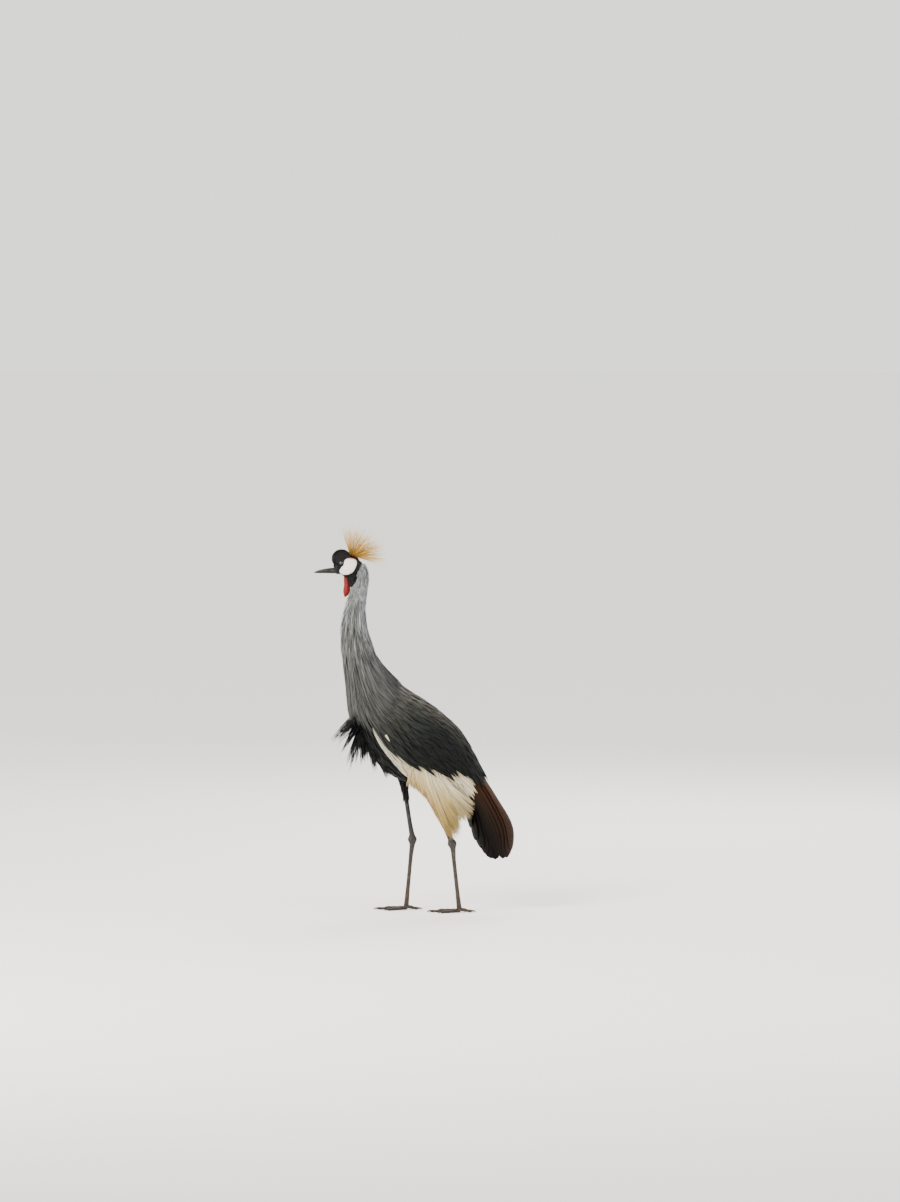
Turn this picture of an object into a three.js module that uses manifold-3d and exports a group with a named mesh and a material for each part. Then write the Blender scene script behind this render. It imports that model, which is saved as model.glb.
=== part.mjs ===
// A grey crowned crane, life size, standing in mid stride with its head up and to the left of the viewer.
// Millimetres, +Z up. The bill points along -X, the bird's left side faces -Y, and the origin is on the
// ground, midway between the ends of the bird.
import * as THREE from "three";
import { mergeVertices } from "three/addons/utils/BufferGeometryUtils.js";
import Module from "manifold-3d";

const wasm = await Module();
wasm.setup();

const { Vector3 } = THREE;
const radian = Math.PI / 180;

// Driving dimensions.
const gap = 0.3; // the space kept where two pieces meet
const clear = 0.36; // how far a surface is lifted to cut its neighbour, so that the gap holds on flat facets
const billLength = 64;
const eyeRadius = 6.2;
const tarsusRadius = 5.4;
const toeRadius = 5.2;
const legSpread = 39; // from the middle plane to each leg
const crownLength = 92;

// Stations from the folded wing tips (0) along the back and up the neck to the nape (15): the place in side
// view, then half-depth towards the back, half-depth towards the belly and half-width of each layer.
// flesh is the body and its short feathers, cloak the feathers folded over it, ruff the long neck plumes.
const stations = [
  { x: 243, z: 141, flesh: [3, 3, 3], cloak: [36, 26, 24], ruff: [10, 10, 10] },
  { x: 228, z: 222, flesh: [3, 3, 3], cloak: [61, 47, 46], ruff: [10, 10, 10] },
  { x: 197, z: 308, flesh: [4, 4, 4], cloak: [51, 48, 62], ruff: [10, 10, 10] },
  { x: 145, z: 388, flesh: [43, 42, 44], cloak: [60, 82, 80], ruff: [10, 10, 10] },
  { x: 80, z: 450, flesh: [71, 110, 72], cloak: [87, 120, 97], ruff: [95, 124, 100] },
  { x: 10, z: 505, flesh: [80, 134, 84], cloak: [95, 142, 107], ruff: [102, 146, 112] },
  { x: -55, z: 557, flesh: [74, 120, 84], cloak: [89, 130, 107], ruff: [96, 132, 112] },
  { x: -100, z: 608, flesh: [62, 86, 66], cloak: [76, 96, 84], ruff: [84, 97, 92] },
  { x: -130, z: 662, flesh: [46, 50, 44], cloak: [58, 58, 58], ruff: [68, 64, 68] },
  { x: -148, z: 716, flesh: [33, 34, 31], cloak: [33, 34, 31], ruff: [51, 51, 48] },
  { x: -160, z: 772, flesh: [29, 30, 27], cloak: [29, 30, 27], ruff: [43, 45, 40] },
  { x: -166, z: 832, flesh: [27, 27, 24], cloak: [27, 27, 24], ruff: [35, 36, 33] },
  { x: -160, z: 893, flesh: [25, 25, 22], cloak: [25, 25, 22], ruff: [27, 27, 24] },
  { x: -150, z: 942, flesh: [22, 22, 20], cloak: [22, 22, 20], ruff: [22, 22, 20] },
  { x: -147, z: 970, flesh: [19, 19, 17], cloak: [19, 19, 17], ruff: [19, 19, 17] },
  { x: -149, z: 996, flesh: [11, 10, 10], cloak: [11, 10, 10], ruff: [11, 10, 10] },
];
const rump = 2.62; // the station where the flesh ends
const neckBase = 8.3;
const neckMiddle = 11.4;

const colours = {
  black: 0x17171a,
  neckGrey: 0x9a9da0,
  slate: 0x4a5154,
  breast: 0x26282a,
  white: 0xe9e4da,
  straw: 0xd9c48f,
  chestnut: 0x5a2a16,
  flight: 0x1c1a1b,
  gold: 0xd8a94a,
  red: 0xb3262a,
  cheek: 0xf3f0ec,
  bill: 0x2b2927,
  leg: 0x3a342f,
  claw: 0x1d1b1a,
  iris: 0xbfd0d8,
};

const finish = (colour, roughness = 0.75) =>
  new THREE.MeshStandardMaterial({ color: colour, roughness, metalness: 0 });

const model = new THREE.Group();

// Solids and geometries.

function toSolid(geometry) {
  const bare = geometry.index ? geometry.toNonIndexed() : geometry.clone();
  bare.deleteAttribute("normal");
  bare.deleteAttribute("uv");
  const merged = mergeVertices(bare, 1e-4);
  const mesh = { numProp: 3, vertProperties: merged.attributes.position.array };
  const corners = new Uint32Array(merged.index.array);
  const made = new wasm.Manifold(new wasm.Mesh({ ...mesh, triVerts: corners }));
  if (made.volume() > 0) return made;
  for (let i = 0; i < corners.length; i += 3) {
    [corners[i + 1], corners[i + 2]] = [corners[i + 2], corners[i + 1]];
  }
  return new wasm.Manifold(new wasm.Mesh({ ...mesh, triVerts: corners }));
}

function largest(solid) {
  const bodies = solid.decompose();
  bodies.sort((a, b) => b.volume() - a.volume());
  return bodies[0];
}

const fuse = (...pieces) => wasm.Manifold.union(pieces.flat());

function addNode(name, solid, material) {
  const kept = largest(solid).getMesh();
  const places = new Float32Array(kept.numVert * 3);
  for (let i = 0; i < kept.numVert; i++) {
    places.set(kept.vertProperties.subarray(i * kept.numProp, i * kept.numProp + 3), i * 3);
  }
  const geometry = new THREE.BufferGeometry();
  geometry.setAttribute("position", new THREE.BufferAttribute(places, 3));
  geometry.setIndex(new THREE.BufferAttribute(new Uint32Array(kept.triVerts), 1));
  geometry.computeVertexNormals();
  const mesh = new THREE.Mesh(geometry, material);
  mesh.name = name;
  model.add(mesh);
}

// A closed body through rings of points. A round body has a fan to a middle point over each end; a flat one
// has faces between its two skins, each half of the ring. The sides of a ring from fold[0] up to fold[1] are
// split the other way, so that two opposite skins split alike. A body may end in a tip.
function bodyOfRings(rings, { tip = null, flat = false, fold = [Infinity, Infinity] } = {}) {
  const count = rings[0].length;
  const places = rings.flat().flatMap((p) => [p.x, p.y, p.z]);
  const corners = [];
  for (let i = 0; i + 1 < rings.length; i++) {
    for (let j = 0; j < count; j++) {
      const [a, b] = [i * count + j, i * count + ((j + 1) % count)];
      const [d, c] = [a + count, b + count];
      if (j >= fold[0] && j < fold[1]) corners.push(a, b, d, b, c, d);
      else corners.push(a, b, c, a, c, d);
    }
  }
  const closeEnd = (ring, at, first) => {
    const start = ring * count;
    if (flat && !at) {
      for (let j = 0; j < count / 2 - 1; j++) {
        const [a, b] = [start + j, start + j + 1];
        const [c, d] = [start + count - 2 - j, start + count - 1 - j];
        corners.push(...(first ? [b, a, c, a, d, c] : [a, b, c, a, c, d]));
      }
      return;
    }
    const end = at ?? rings[ring].reduce((sum, p) => sum.add(p), new Vector3()).divideScalar(count);
    const middle = places.length / 3;
    places.push(end.x, end.y, end.z);
    for (let j = 0; j < count; j++) {
      const [a, b] = [start + j, start + ((j + 1) % count)];
      corners.push(...(first ? [b, a, middle] : [a, b, middle]));
    }
  };
  closeEnd(0, null, true);
  closeEnd(rings.length - 1, tip, false);
  const geometry = new THREE.BufferGeometry();
  geometry.setAttribute("position", new THREE.Float32BufferAttribute(places, 3));
  geometry.setIndex(corners);
  return toSolid(geometry);
}

// A surface round a line. s counts the stations of the line, angle runs from the back (0) over the bird's
// left side (90) to the belly (180), and lift is the height above the surface.
const toTheLeft = () => new Vector3(0, -1, 0);

function surfaceOf(points, sizes, sideOf = toTheLeft) {
  const line = new THREE.CatmullRomCurve3(points, false, "catmullrom", 0.5);
  const spans = points.length - 1;
  const girth = new THREE.CatmullRomCurve3(
    sizes.map((size) => new Vector3(...size)),
    false,
    "catmullrom",
    0.5,
  );
  const surface = (s, angle, lift = 0) => {
    const middle = line.getPoint(s / spans);
    const along = line.getTangent(s / spans);
    const side = sideOf(along);
    const up = along.clone().cross(side).normalize();
    const size = girth.getPoint(s / spans);
    const [c, d] = [Math.cos(angle * radian), Math.sin(angle * radian)];
    const depth = c >= 0 ? size.x : size.y;
    const out = up
      .clone()
      .multiplyScalar(c / depth)
      .addScaledVector(side, d / size.z)
      .normalize();
    return middle
      .addScaledVector(up, depth * c)
      .addScaledVector(side, size.z * d)
      .addScaledVector(out, lift);
  };
  surface.line = (s) => line.getPoint(s / spans);
  surface.along = (s) => line.getTangent(s / spans);
  surface.out = (s, angle) => surface(s, angle, 1).sub(surface(s, angle, 0)).normalize();
  surface.round = (s, angle) => surface(s, angle + 1).sub(surface(s, angle - 1)).normalize();
  surface.spans = spans;
  return surface;
}

function loft(surface, { from = 0, to = surface.spans, rings, sides, lift = 0 }) {
  const made = [];
  for (let i = 0; i <= rings; i++) {
    const s = from + ((to - from) * i) / rings;
    made.push(
      Array.from({ length: sides }, (_, j) => surface(s, (360 * j) / sides, lift)),
    );
  }
  return bodyOfRings(made, { fold: [sides / 2, sides] });
}

// A closed curved plate on a surface, between two stations, two angles and two lifts. Its angles may change
// along it, so low and high are functions of the station.
function plate(surface, { from, to, low, high, inner, outer, steps, across }) {
  const made = [];
  for (let i = 0; i <= steps; i++) {
    const s = from + ((to - from) * i) / steps;
    const row = (lift) =>
      Array.from({ length: across + 1 }, (_, j) =>
        surface(s, low(s) + ((high(s) - low(s)) * j) / across, lift),
      );
    made.push([...row(outer), ...row(inner).reverse()]);
  }
  return bodyOfRings(made, { flat: true, fold: [across + 1, 2 * across + 1] });
}

// A feather, plume or lock: a thin blade along a path, closed by a flat root and a pointed tip. point and
// out give its place and its upper side at 0 to 1 along it. arch is how far its edges lie below its middle.
const shapes = {
  plume: { at: [0, 0.34, 0.7], wide: [0.5, 1, 0.62] },
  leaf: { at: [0, 0.42, 0.8], wide: [0.46, 1, 0.86] },
  hem: { at: [0, 0.5, 0.78], wide: [0.36, 1, 0.6] },
  quill: { at: [0, 0.3, 0.68, 0.92], wide: [0.6, 1, 1, 0.6] },
};

function blade({ point, out, width, thick, shape, roll = 0, arch = 0 }) {
  const small = 0.01;
  const rings = shape.at.map((k, i) => {
    const along = point(Math.min(k + small, 1))
      .sub(point(Math.max(k - small, 0)))
      .normalize();
    const across = along.clone().cross(out(k)).normalize();
    across.applyAxisAngle(along, roll * radian);
    const up = across.clone().cross(along).normalize();
    const place = (side, face) =>
      point(k)
        .addScaledVector(across, side * 0.5 * width * shape.wide[i])
        .addScaledVector(up, face * 0.5 * thick - Math.abs(side) * arch * shape.wide[i] ** 2);
    const sides = arch ? [-1, 0, 1] : [-1, 1];
    return [...sides.map((at) => place(at, 1)), ...sides.reverse().map((at) => place(at, -1))];
  });
  return bodyOfRings(rings, { tip: point(1), flat: true, fold: arch ? [3, 5] : [2, 3] });
}

// A blade that follows a surface. from and to are [station, angle], and lifts are the heights of its root,
// middle and tip.
function feather(surface, { from, to, lifts, ...rest }) {
  const mix = (a, b, k) => a + (b - a) * k;
  const height = new THREE.QuadraticBezierCurve(
    new THREE.Vector2(0, lifts[0]),
    new THREE.Vector2(0, lifts[1]),
    new THREE.Vector2(0, lifts[2]),
  );
  const place = (k) => [mix(from[0], to[0], k), mix(from[1], to[1], k)];
  return blade({
    point: (k) => surface(...place(k), height.getPoint(k).y),
    out: (k) => surface.out(...place(k)),
    ...rest,
  });
}

// Everything on one side of a plane, as far away from it as told.
function beyond(point, normal, away = gap / 2) {
  const reach = 1500;
  const box = new THREE.BoxGeometry(2 * reach, 2 * reach, 2 * reach);
  const turn = new THREE.Quaternion().setFromUnitVectors(new Vector3(0, 0, 1), normal);
  box.translate(0, 0, reach + away);
  box.applyQuaternion(turn);
  box.translate(point.x, point.y, point.z);
  return toSolid(box);
}

function partAt(solid, point, normal) {
  return [
    solid.intersect(beyond(point, normal)),
    solid.intersect(beyond(point, normal.clone().negate())),
  ];
}

function mirrored(solid) {
  const mesh = solid.getMesh();
  const places = Float32Array.from(mesh.vertProperties, (v, i) => (i % 3 === 1 ? -v : v));
  const corners = Uint32Array.from(mesh.triVerts).reverse();
  return new wasm.Manifold(
    new wasm.Mesh({ numProp: 3, vertProperties: places, triVerts: corners }),
  );
}

// Small differences between feathers, the same each run.
let seed = 7;
function vary(amount) {
  seed = (seed * 16807) % 2147483647;
  return amount * (2 * (seed / 2147483647) - 1);
}

function ellipsoid(centre, radii, [wide, high] = [16, 10]) {
  const ball = new THREE.SphereGeometry(1, wide, high);
  ball.scale(...radii);
  ball.translate(...centre);
  return toSolid(ball);
}

const layer = (name) =>
  surfaceOf(
    stations.map((at) => new Vector3(at.x, 0, at.z)),
    stations.map((at) => at[name]),
  );
const flesh = layer("flesh");
const cloak = layer("cloak");
const ruff = layer("ruff");

// Grown by a lift, it cuts the pieces that lie on it; its ends then reach as far beyond.
const fleshBody = (lift = 0) =>
  loft(flesh, {
    from: rump - lift / 90,
    to: 14.985 + lift / 26,
    rings: 17,
    sides: 16,
    lift,
  });
const fleshCutter = fleshBody(clear);

// Trunk: one body of flesh, parted into torso, lower neck and upper neck.

const [wholeNeck, torsoCore] = partAt(fleshBody(), flesh.line(neckBase), flesh.along(neckBase));
const [upperNeck, lowerNeckCore] = partAt(
  wholeNeck,
  flesh.line(neckMiddle),
  flesh.along(neckMiddle),
);
addNode("neck_upper", upperNeck, finish(colours.neckGrey));

// The value of a table of [place, value] at a place between two of its rows.
function between(table, x) {
  const i = Math.max(1, table.findIndex(([at]) => at >= x));
  const [[x0, y0], [x1, y1]] = [table[i - 1], table[i]];
  return y0 + ((y1 - y0) * (x - x0)) / (x1 - x0);
}

// Long grey plumes hang from the lower neck over the breast and shoulders. Each row starts on the neck and
// the rows hang over one another; the last reaches the shoulders at the sides.
const plumeRows = [
  { root: 11.15, length: 1.45, count: 7, width: 19 },
  { root: 10.35, length: 1.6, count: 8, width: 21 },
  { root: 9.55, length: 1.75, count: 9, width: 24 },
  { root: 8.72, length: Infinity, count: 17, width: 28 },
];
const ruffHem = [
  [0, 7.3],
  [40, 7.1],
  [75, 6.55],
  [100, 6.15],
  [122, 6.25],
  [138, 6.95],
  [180, 7.1],
];
const ruffShoulder = 7.85; // where the plumes of the last row leave the neck
const hemRoll = 11; // each plume of the last row lies over the edge of the next

function neckPlume({ root, length, width }, angle) {
  const hem = between(ruffHem, Math.abs(((angle + 540) % 360) - 180));
  const tip = Math.max(root - length, hem) + vary(0.1);
  const turn = vary(4);
  const risen = Math.min(0.95, root - ruffShoulder);
  const place = (k) => {
    const s = root + (tip - root) * k;
    const share = Math.min(1, (root - s) / risen);
    const low = flesh(s, angle + turn * k, -5);
    return low.lerp(ruff(s, angle + turn * k, -4 + 9 * k), share * (2 - share));
  };
  return blade({
    point: place,
    out: (k) => ruff.out(root + (tip - root) * k, angle),
    width: width + vary(2),
    thick: 1.3,
    shape: length === Infinity ? shapes.hem : shapes.plume,
    roll: length === Infinity ? hemRoll : 0,
  });
}

const neckPlumes = plumeRows.flatMap((row, r) =>
  Array.from({ length: row.count }, (_, i) =>
    neckPlume(row, ((i + 0.5 + (r % 2) / 2) * 360) / row.count),
  ),
);
addNode("neck_lower", fuse(lowerNeckCore, neckPlumes), finish(colours.neckGrey));

// Black lance-shaped plumes stand out from the lower breast.
const breastRows = [
  { root: 6.86, count: 7, spread: 38, length: 98, lean: -0.2 },
  { root: 6.5, count: 6, spread: 31, length: 98, lean: 0.45 },
  { root: 6.12, count: 6, spread: 29, length: 62, lean: 0.8 },
  { root: 5.7, count: 5, spread: 26, length: 52, lean: 1.9 },
];

function breastPlume({ root, spread, length, lean }, share) {
  const angle = 180 + spread * share + vary(2);
  const start = flesh(root, angle, -6);
  const out = flesh.out(root, angle);
  const tailward = flesh.along(root).negate();
  const aim = out.clone().addScaledVector(tailward, lean).normalize();
  const reach = length + vary(14);
  const droop = 14 + vary(6);
  return blade({
    point: (k) =>
      start.clone().addScaledVector(aim, reach * k).add(new Vector3(0, 0, -droop * k * k)),
    out: () => out.clone().negate().add(tailward),
    width: 13,
    thick: 1.3,
    shape: shapes.plume,
    roll: vary(20),
  });
}

const breastPlumes = breastRows.flatMap((row) =>
  Array.from({ length: row.count }, (_, i) =>
    breastPlume(row, (2 * i) / (row.count - 1) - 1),
  ),
);
addNode("torso", fuse(torsoCore, breastPlumes), finish(colours.breast));

// The slate mantle and shoulder feathers: a cloak over the back and the upper wings, in tiers whose tips
// lie over the roots of the next. Its edge is told as [station, angle].
const mantleEdge = [
  [2.4, 40],
  [3, 72],
  [3.5, 90],
  [4, 108],
  [5, 119],
  [6, 115],
  [7, 98],
  [7.7, 70],
];
const mantleHalf = (s) => between(mantleEdge, s) - 7;
const saddleHalf = 22; // the angle over which the mantle reaches down to the flesh of the back
const mantleCore = fuse(
  plate(cloak, {
    from: 2.95,
    to: 7.6,
    low: (s) => -mantleHalf(s),
    high: mantleHalf,
    inner: -9,
    outer: -5.4,
    steps: 6,
    across: 10,
  }),
  plate(cloak, {
    from: 4.6,
    to: 5.9,
    low: () => -saddleHalf,
    high: () => saddleHalf,
    inner: -26,
    outer: -7.4,
    steps: 1,
    across: 2,
  }),
).subtract(fleshCutter);

const mantleTiers = [7.45, 6.3, 5.1, 3.85];
const mantleVane = { length: 1.72, width: 66, pitch: 50 };
const topLift = 2; // how much higher the feathers of the middle row lie
const lastTier = mantleTiers.length - 1;
const tipLift = (tier) => (tier === lastTier ? -1.5 : 1.5); // the last tier lies close to the wing

function mantleTier(root, tier) {
  const edge = between(mantleEdge, root - mantleVane.length * 0.6) - 5;
  const wide = cloak(root - 0.6, 90).y / -104;
  const arc = (edge * radian * -cloak(root - 0.6, 90).y * 2) / (mantleVane.pitch * wide ** 0.5);
  const half = Math.round(arc / 2);
  return Array.from({ length: 2 * half + 1 }, (_, i) => {
    const share = i / half - 1;
    const top = i === half ? topLift : 0;
    const reach = mantleVane.length * (tier === lastTier ? 0.9 - 0.2 * share ** 2 : 1);
    return feather(cloak, {
      from: [root, edge * share * 0.93],
      to: [root - reach + vary(0.04), edge * share],
      lifts: [-7, -0.4 + 2 * top, tipLift(tier) + top],
      width: mantleVane.width * Math.min(1, wide ** 0.5),
      thick: 1.2,
      shape: shapes.leaf,
      roll: -Math.sign(share) * 6,
      arch: tier === 0 ? 4.4 : 4.4 / wide ** 2,
    });
  });
}

addNode(
  "mantle",
  fuse(mantleCore, mantleTiers.flatMap(mantleTier)).subtract(fleshCutter),
  finish(colours.slate),
);

// Folded wings. One plate lies on the flesh and is parted into the roots of the coverts, the straw plumes,
// the tertials and the primaries. All are made on the bird's left and mirrored.
const wingEdge = [
  [3, 148],
  [4, 148],
  [5, 145],
  [5.8, 139],
  [6.4, 128],
  [6.9, 112],
];
const wingTop = 38; // the angle where the roots of the wing begin
const rootDepth = 38; // how deep they reach below the cloak
const wingPlate = (shape, grow = 0) =>
  plate(cloak, {
    from: 3.05,
    to: 6.85,
    low: () => wingTop - grow,
    high: (s) => between(wingEdge, s) + grow,
    inner: -rootDepth - grow,
    outer: -16.4 + grow,
    steps: 6,
    across: 6,
    ...shape,
  });

// The stations and angles where the roots part.
const rearPlace = 3.42;
const plumeFront = 4.75;
const plumeTop = 127;
const tertialEdge = 112;
const frontRoots = wingPlate({ from: 3.3 })
  .intersect(beyond(cloak(rearPlace, 90), cloak.along(rearPlace)))
  .subtract(fleshCutter);
const rearRoots = wingPlate({ to: 3.6, high: () => 158, outer: -19, steps: 1 })
  .intersect(beyond(cloak(rearPlace, 90), cloak.along(rearPlace).negate()))
  .subtract(fleshCutter);
const plumeCorner = (away) =>
  beyond(cloak(4.1, plumeTop), cloak.round(4.1, plumeTop), away).intersect(
    beyond(cloak(plumeFront, plumeTop), cloak.along(plumeFront).negate(), away),
  );
const plumeRoot = frontRoots.intersect(plumeCorner(gap / 2));
const covertRoot = frontRoots.subtract(plumeCorner(-gap / 2));
const [primaryRoot, tertialRoot] = partAt(
  rearRoots,
  cloak(3.2, tertialEdge),
  cloak.round(3.2, tertialEdge),
);

const covertRows = [
  { root: 6.15, angles: [116, 128] },
  { root: 5.5, angles: [114, 127] },
  { root: 4.9, angles: [114] },
  { root: 4.4, angles: [113] },
  { root: 3.95, angles: [98, 109] },
];

const coverts = covertRows.flatMap(({ root, angles }) =>
  angles.map((angle) =>
    feather(cloak, {
      from: [root, angle - 3],
      to: [root - 0.84 - vary(0.03), angle + 1],
      lifts: [-18.8, -15, -16],
      width: 32,
      thick: 1.1,
      shape: shapes.leaf,
      roll: 5,
    }),
  ),
);

// Long straw plumes hang from the rear of the wing over the thigh. Each is told by its tip in side view.
const plumeTips = [
  [-14, 361],
  [10, 353],
  [34, 331],
  [56, 304],
  [76, 268],
  [94, 235],
  [110, 215],
  [125, 214],
  [138, 244],
  [153, 268],
  [168, 284],
];

const strawPlumes = plumeTips.map(([x, z], i) => {
  const share = i / (plumeTips.length - 1);
  const root = cloak(4.55 - 0.75 * share, 136, -19);
  const bend = cloak(4.35 - 0.85 * share, 139, -3);
  const tip = new Vector3(x, -70 - 8 * share, z);
  const path = new THREE.QuadraticBezierCurve3(root, bend, tip);
  return blade({
    point: (k) => path.getPoint(k),
    out: () => new Vector3(0.15, -1, 0),
    width: 20,
    thick: 1.2,
    shape: shapes.plume,
    roll: 12,
  });
});

const foldRoll = -15; // each folded flight feather's upper edge lies under the one above it
const tertials = Array.from({ length: 5 }, (_, i) =>
  feather(cloak, {
    from: [3.3, 48 + 11.5 * i],
    to: [0.03 + 0.07 * i + vary(0.02), 30 + 15 * i],
    lifts: [-22 - i, 5 - 3 * i, 1.5 - i],
    width: 31,
    thick: 1.2,
    shape: shapes.quill,
    roll: foldRoll,
    arch: 2.9,
  }),
);

// The primaries fan out below the tertials: the lower ones end sooner and hang further out.
const primaryFold = [
  { to: [0.1, 102], middle: -24, tip: -11 },
  { to: [0.2, 121], middle: -18, tip: -6 },
  { to: [0.32, 141], middle: -8, tip: -1 },
  { to: [0.48, 162], middle: 5, tip: 5 },
];
const primaries = primaryFold.map(({ to, middle, tip }, i) =>
  feather(cloak, {
    from: [3.3, 124 + 9 * i],
    to: [to[0] + vary(0.04), to[1]],
    lifts: [-25 - 1.2 * i, middle, tip],
    width: 26,
    thick: 1.2,
    shape: shapes.quill,
    roll: foldRoll,
  }),
);

const wingParts = [
  ["coverts", fuse(covertRoot, coverts), colours.white],
  ["plumes", fuse(plumeRoot, strawPlumes), colours.straw],
  ["tertials", fuse(tertialRoot, tertials), colours.chestnut],
  ["primaries", fuse(primaryRoot, primaries), colours.flight],
];
for (const [part, solid, colour] of wingParts) {
  const made = solid.subtract(fleshCutter);
  addNode(`wing_left_${part}`, made, finish(colour));
  addNode(`wing_right_${part}`, mirrored(made), finish(colour));
}

// Tail, between the folded wings: the middle feathers lie over the outer ones.
const tailRoot = loft(flesh, { from: 2.24, to: rump - 0.004, rings: 3, sides: 12 });
const tailSteps = [-1, 1, -2.6, 2.6, -4.2, 4.2];
const tailFeathers = tailSteps.map((place, i) => {
  const start = flesh.line(2.5).add(new Vector3(0, 2.2 * place, 4 - 1.6 * i));
  const end = flesh.line(0.7 + 0.03 * i).add(new Vector3(0, 2.6 * place, 6 - 1.9 * i));
  return blade({
    point: (k) => start.clone().lerp(end, k),
    out: () => new Vector3(0.9, 0, 0.4),
    width: 18,
    thick: 1.2,
    shape: shapes.quill,
  });
});
addNode("tail", fuse(tailRoot, tailFeathers), finish(colours.flight));

// Head. The surface runs from the nape to the face, and its back is the top of the head.
const headPlaces = [
  [-148, 990],
  [-156, 989],
  [-168, 989],
  [-184, 989],
  [-200, 987],
  [-212, 983],
  [-221, 977],
  [-226, 975],
];
const headSizes = [
  [10, 10, 8],
  [22, 24, 15],
  [29, 31, 19.5],
  [31, 33, 21.5],
  [29, 30, 20],
  [22, 21, 16],
  [13, 12, 10],
  [7, 7, 6],
];
const headSurface = surfaceOf(
  headPlaces.map(([x, z]) => new Vector3(x, 0, z)),
  headSizes,
);
const headBody = (lift = 0) =>
  loft(headSurface, {
    from: 0.06 - Math.min(lift, headClear) / 10,
    to: 6.93 + Math.min(lift, headClear) / 8,
    rings: 9,
    sides: 16,
    lift,
  });
const throat = (grow = 0) => ellipsoid([-171, 0, 953], [15 + grow, 17 + grow, 23 + grow], [12, 6]);
const headClear = 0.55; // as clear, for the head's larger facets
const headCutter = fuse(headBody(headClear), throat(headClear));

const eyePlace = new Vector3(-205.5, -13.6, 999);
const eyeBall = (grow = 0) =>
  ellipsoid(eyePlace.toArray(), Array(3).fill(eyeRadius + grow), [10, 6]);
const lidSpace = new THREE.CylinderGeometry(eyeRadius + 2.8, eyeRadius + 2.8, 20, 18);
lidSpace.translate(eyePlace.x, eyePlace.y - 6, eyePlace.z);
const lidCutter = toSolid(lidSpace);
const lidRing = new THREE.TorusGeometry(eyeRadius + 0.5, 1.3, 4, 10);
lidRing.rotateX(Math.PI / 2);
lidRing.rotateZ(0.22);
lidRing.translate(eyePlace.x - 0.4, eyePlace.y - 3.6, eyePlace.z);
const lid = toSolid(lidRing);

const mouthLine = ellipsoid([-213, 0, 974.4], [9, 40, 0.7], [12, 6]);
const eyeSpace = eyeBall(clear);
const head = fuse(headBody(), throat(), lid, mirrored(lid))
  .subtract(fleshCutter)
  .subtract(mouthLine)
  .subtract(eyeSpace)
  .subtract(mirrored(eyeSpace));
addNode("head", head, finish(colours.black, 0.95));
addNode("eye_left", eyeBall(), finish(colours.iris, 0.2));
addNode("eye_right", mirrored(eyeBall()), finish(colours.iris, 0.2));

// The velvet cushion on the forehead.
const cushion = (grow = 0) =>
  ellipsoid([-205, 0, 1010.5], [27 + grow, 17.5 + grow, 25.5 + grow], [16, 9]);
addNode(
  "forehead_cushion",
  cushion().subtract(headCutter).subtract(lidCutter).subtract(mirrored(lidCutter)),
  finish(colours.black, 1),
);

// Bare white cheeks: plates on the sides of the head, seen from the side as a leaning patch behind the eye.
const cheekOutline = new THREE.SplineCurve(
  [
    [-196, 1010],
    [-181, 1014],
    [-166, 1009],
    [-161.5, 998],
    [-166, 984],
    [-173, 973],
    [-186, 966],
    [-201, 966.5],
    [-209.5, 974.5],
    [-206.5, 985],
    [-198, 995],
    [-196, 1010],
  ].map(([x, z]) => new THREE.Vector2(x, z)),
);
const cheekPrism = new THREE.ExtrudeGeometry(
  new THREE.Shape(cheekOutline.getPoints(20).slice(0, -1)),
  { depth: 40, bevelEnabled: false, curveSegments: 1 },
);
cheekPrism.rotateX(Math.PI / 2);
cheekPrism.translate(0, -5, 0);
const cheek = headBody(2)
  .intersect(toSolid(cheekPrism))
  .subtract(headCutter)
  .subtract(fleshCutter)
  .subtract(lidCutter)
  .subtract(cushion(clear));
addNode("cheek_left", cheek, finish(colours.cheek, 0.6));
addNode("cheek_right", mirrored(cheek), finish(colours.cheek, 0.6));

// Bill: short and nearly straight, parted along the mouth, with a nostril on each side of the upper half.
const billRoot = new Vector3(-210, 0, 976.5);
const billTip = new Vector3(-219 - billLength, 0, 971.2);
const billSurface = surfaceOf(
  [0, 0.3, 0.6, 0.85, 1].map((k) =>
    billRoot.clone().lerp(billTip, k).add(new Vector3(0, 0, 1.4 * Math.sin(k * Math.PI))),
  ),
  [
    [8.6, 8.4, 5.6],
    [8, 7.8, 5.2],
    [6.4, 5.8, 3.9],
    [4.2, 3.6, 2.5],
    [1, 1, 0.9],
  ],
);
const nostril = ellipsoid([-238, -6.3, 977.8], [5.2, 3, 1.4], [8, 5]);
const [upperBill, lowerBill] = partAt(
  loft(billSurface, { rings: 7, sides: 14 }).subtract(headCutter),
  new Vector3(-226, 0, 974.6),
  new Vector3(-0.045, 0, 1).normalize(),
);
addNode("bill_upper", upperBill.subtract(nostril).subtract(mirrored(nostril)), finish(colours.bill, 0.5));
addNode("bill_lower", lowerBill, finish(colours.bill, 0.5));

// Red wattle under the throat.
const wattle = surfaceOf(
  [
    [-190, 968],
    [-190, 952],
    [-189, 935],
    [-192, 915],
    [-195, 901],
  ].map(([x, z]) => new Vector3(x, 0, z)),
  [
    [7, 7, 4.5],
    [8, 8, 5],
    [9, 9, 5.4],
    [9, 9.5, 5.2],
    [3, 3, 2.4],
  ],
);
addNode(
  "wattle",
  loft(wattle, { rings: 7, sides: 10 }).subtract(headCutter).subtract(fleshCutter),
  finish(colours.red, 0.6),
);

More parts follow.
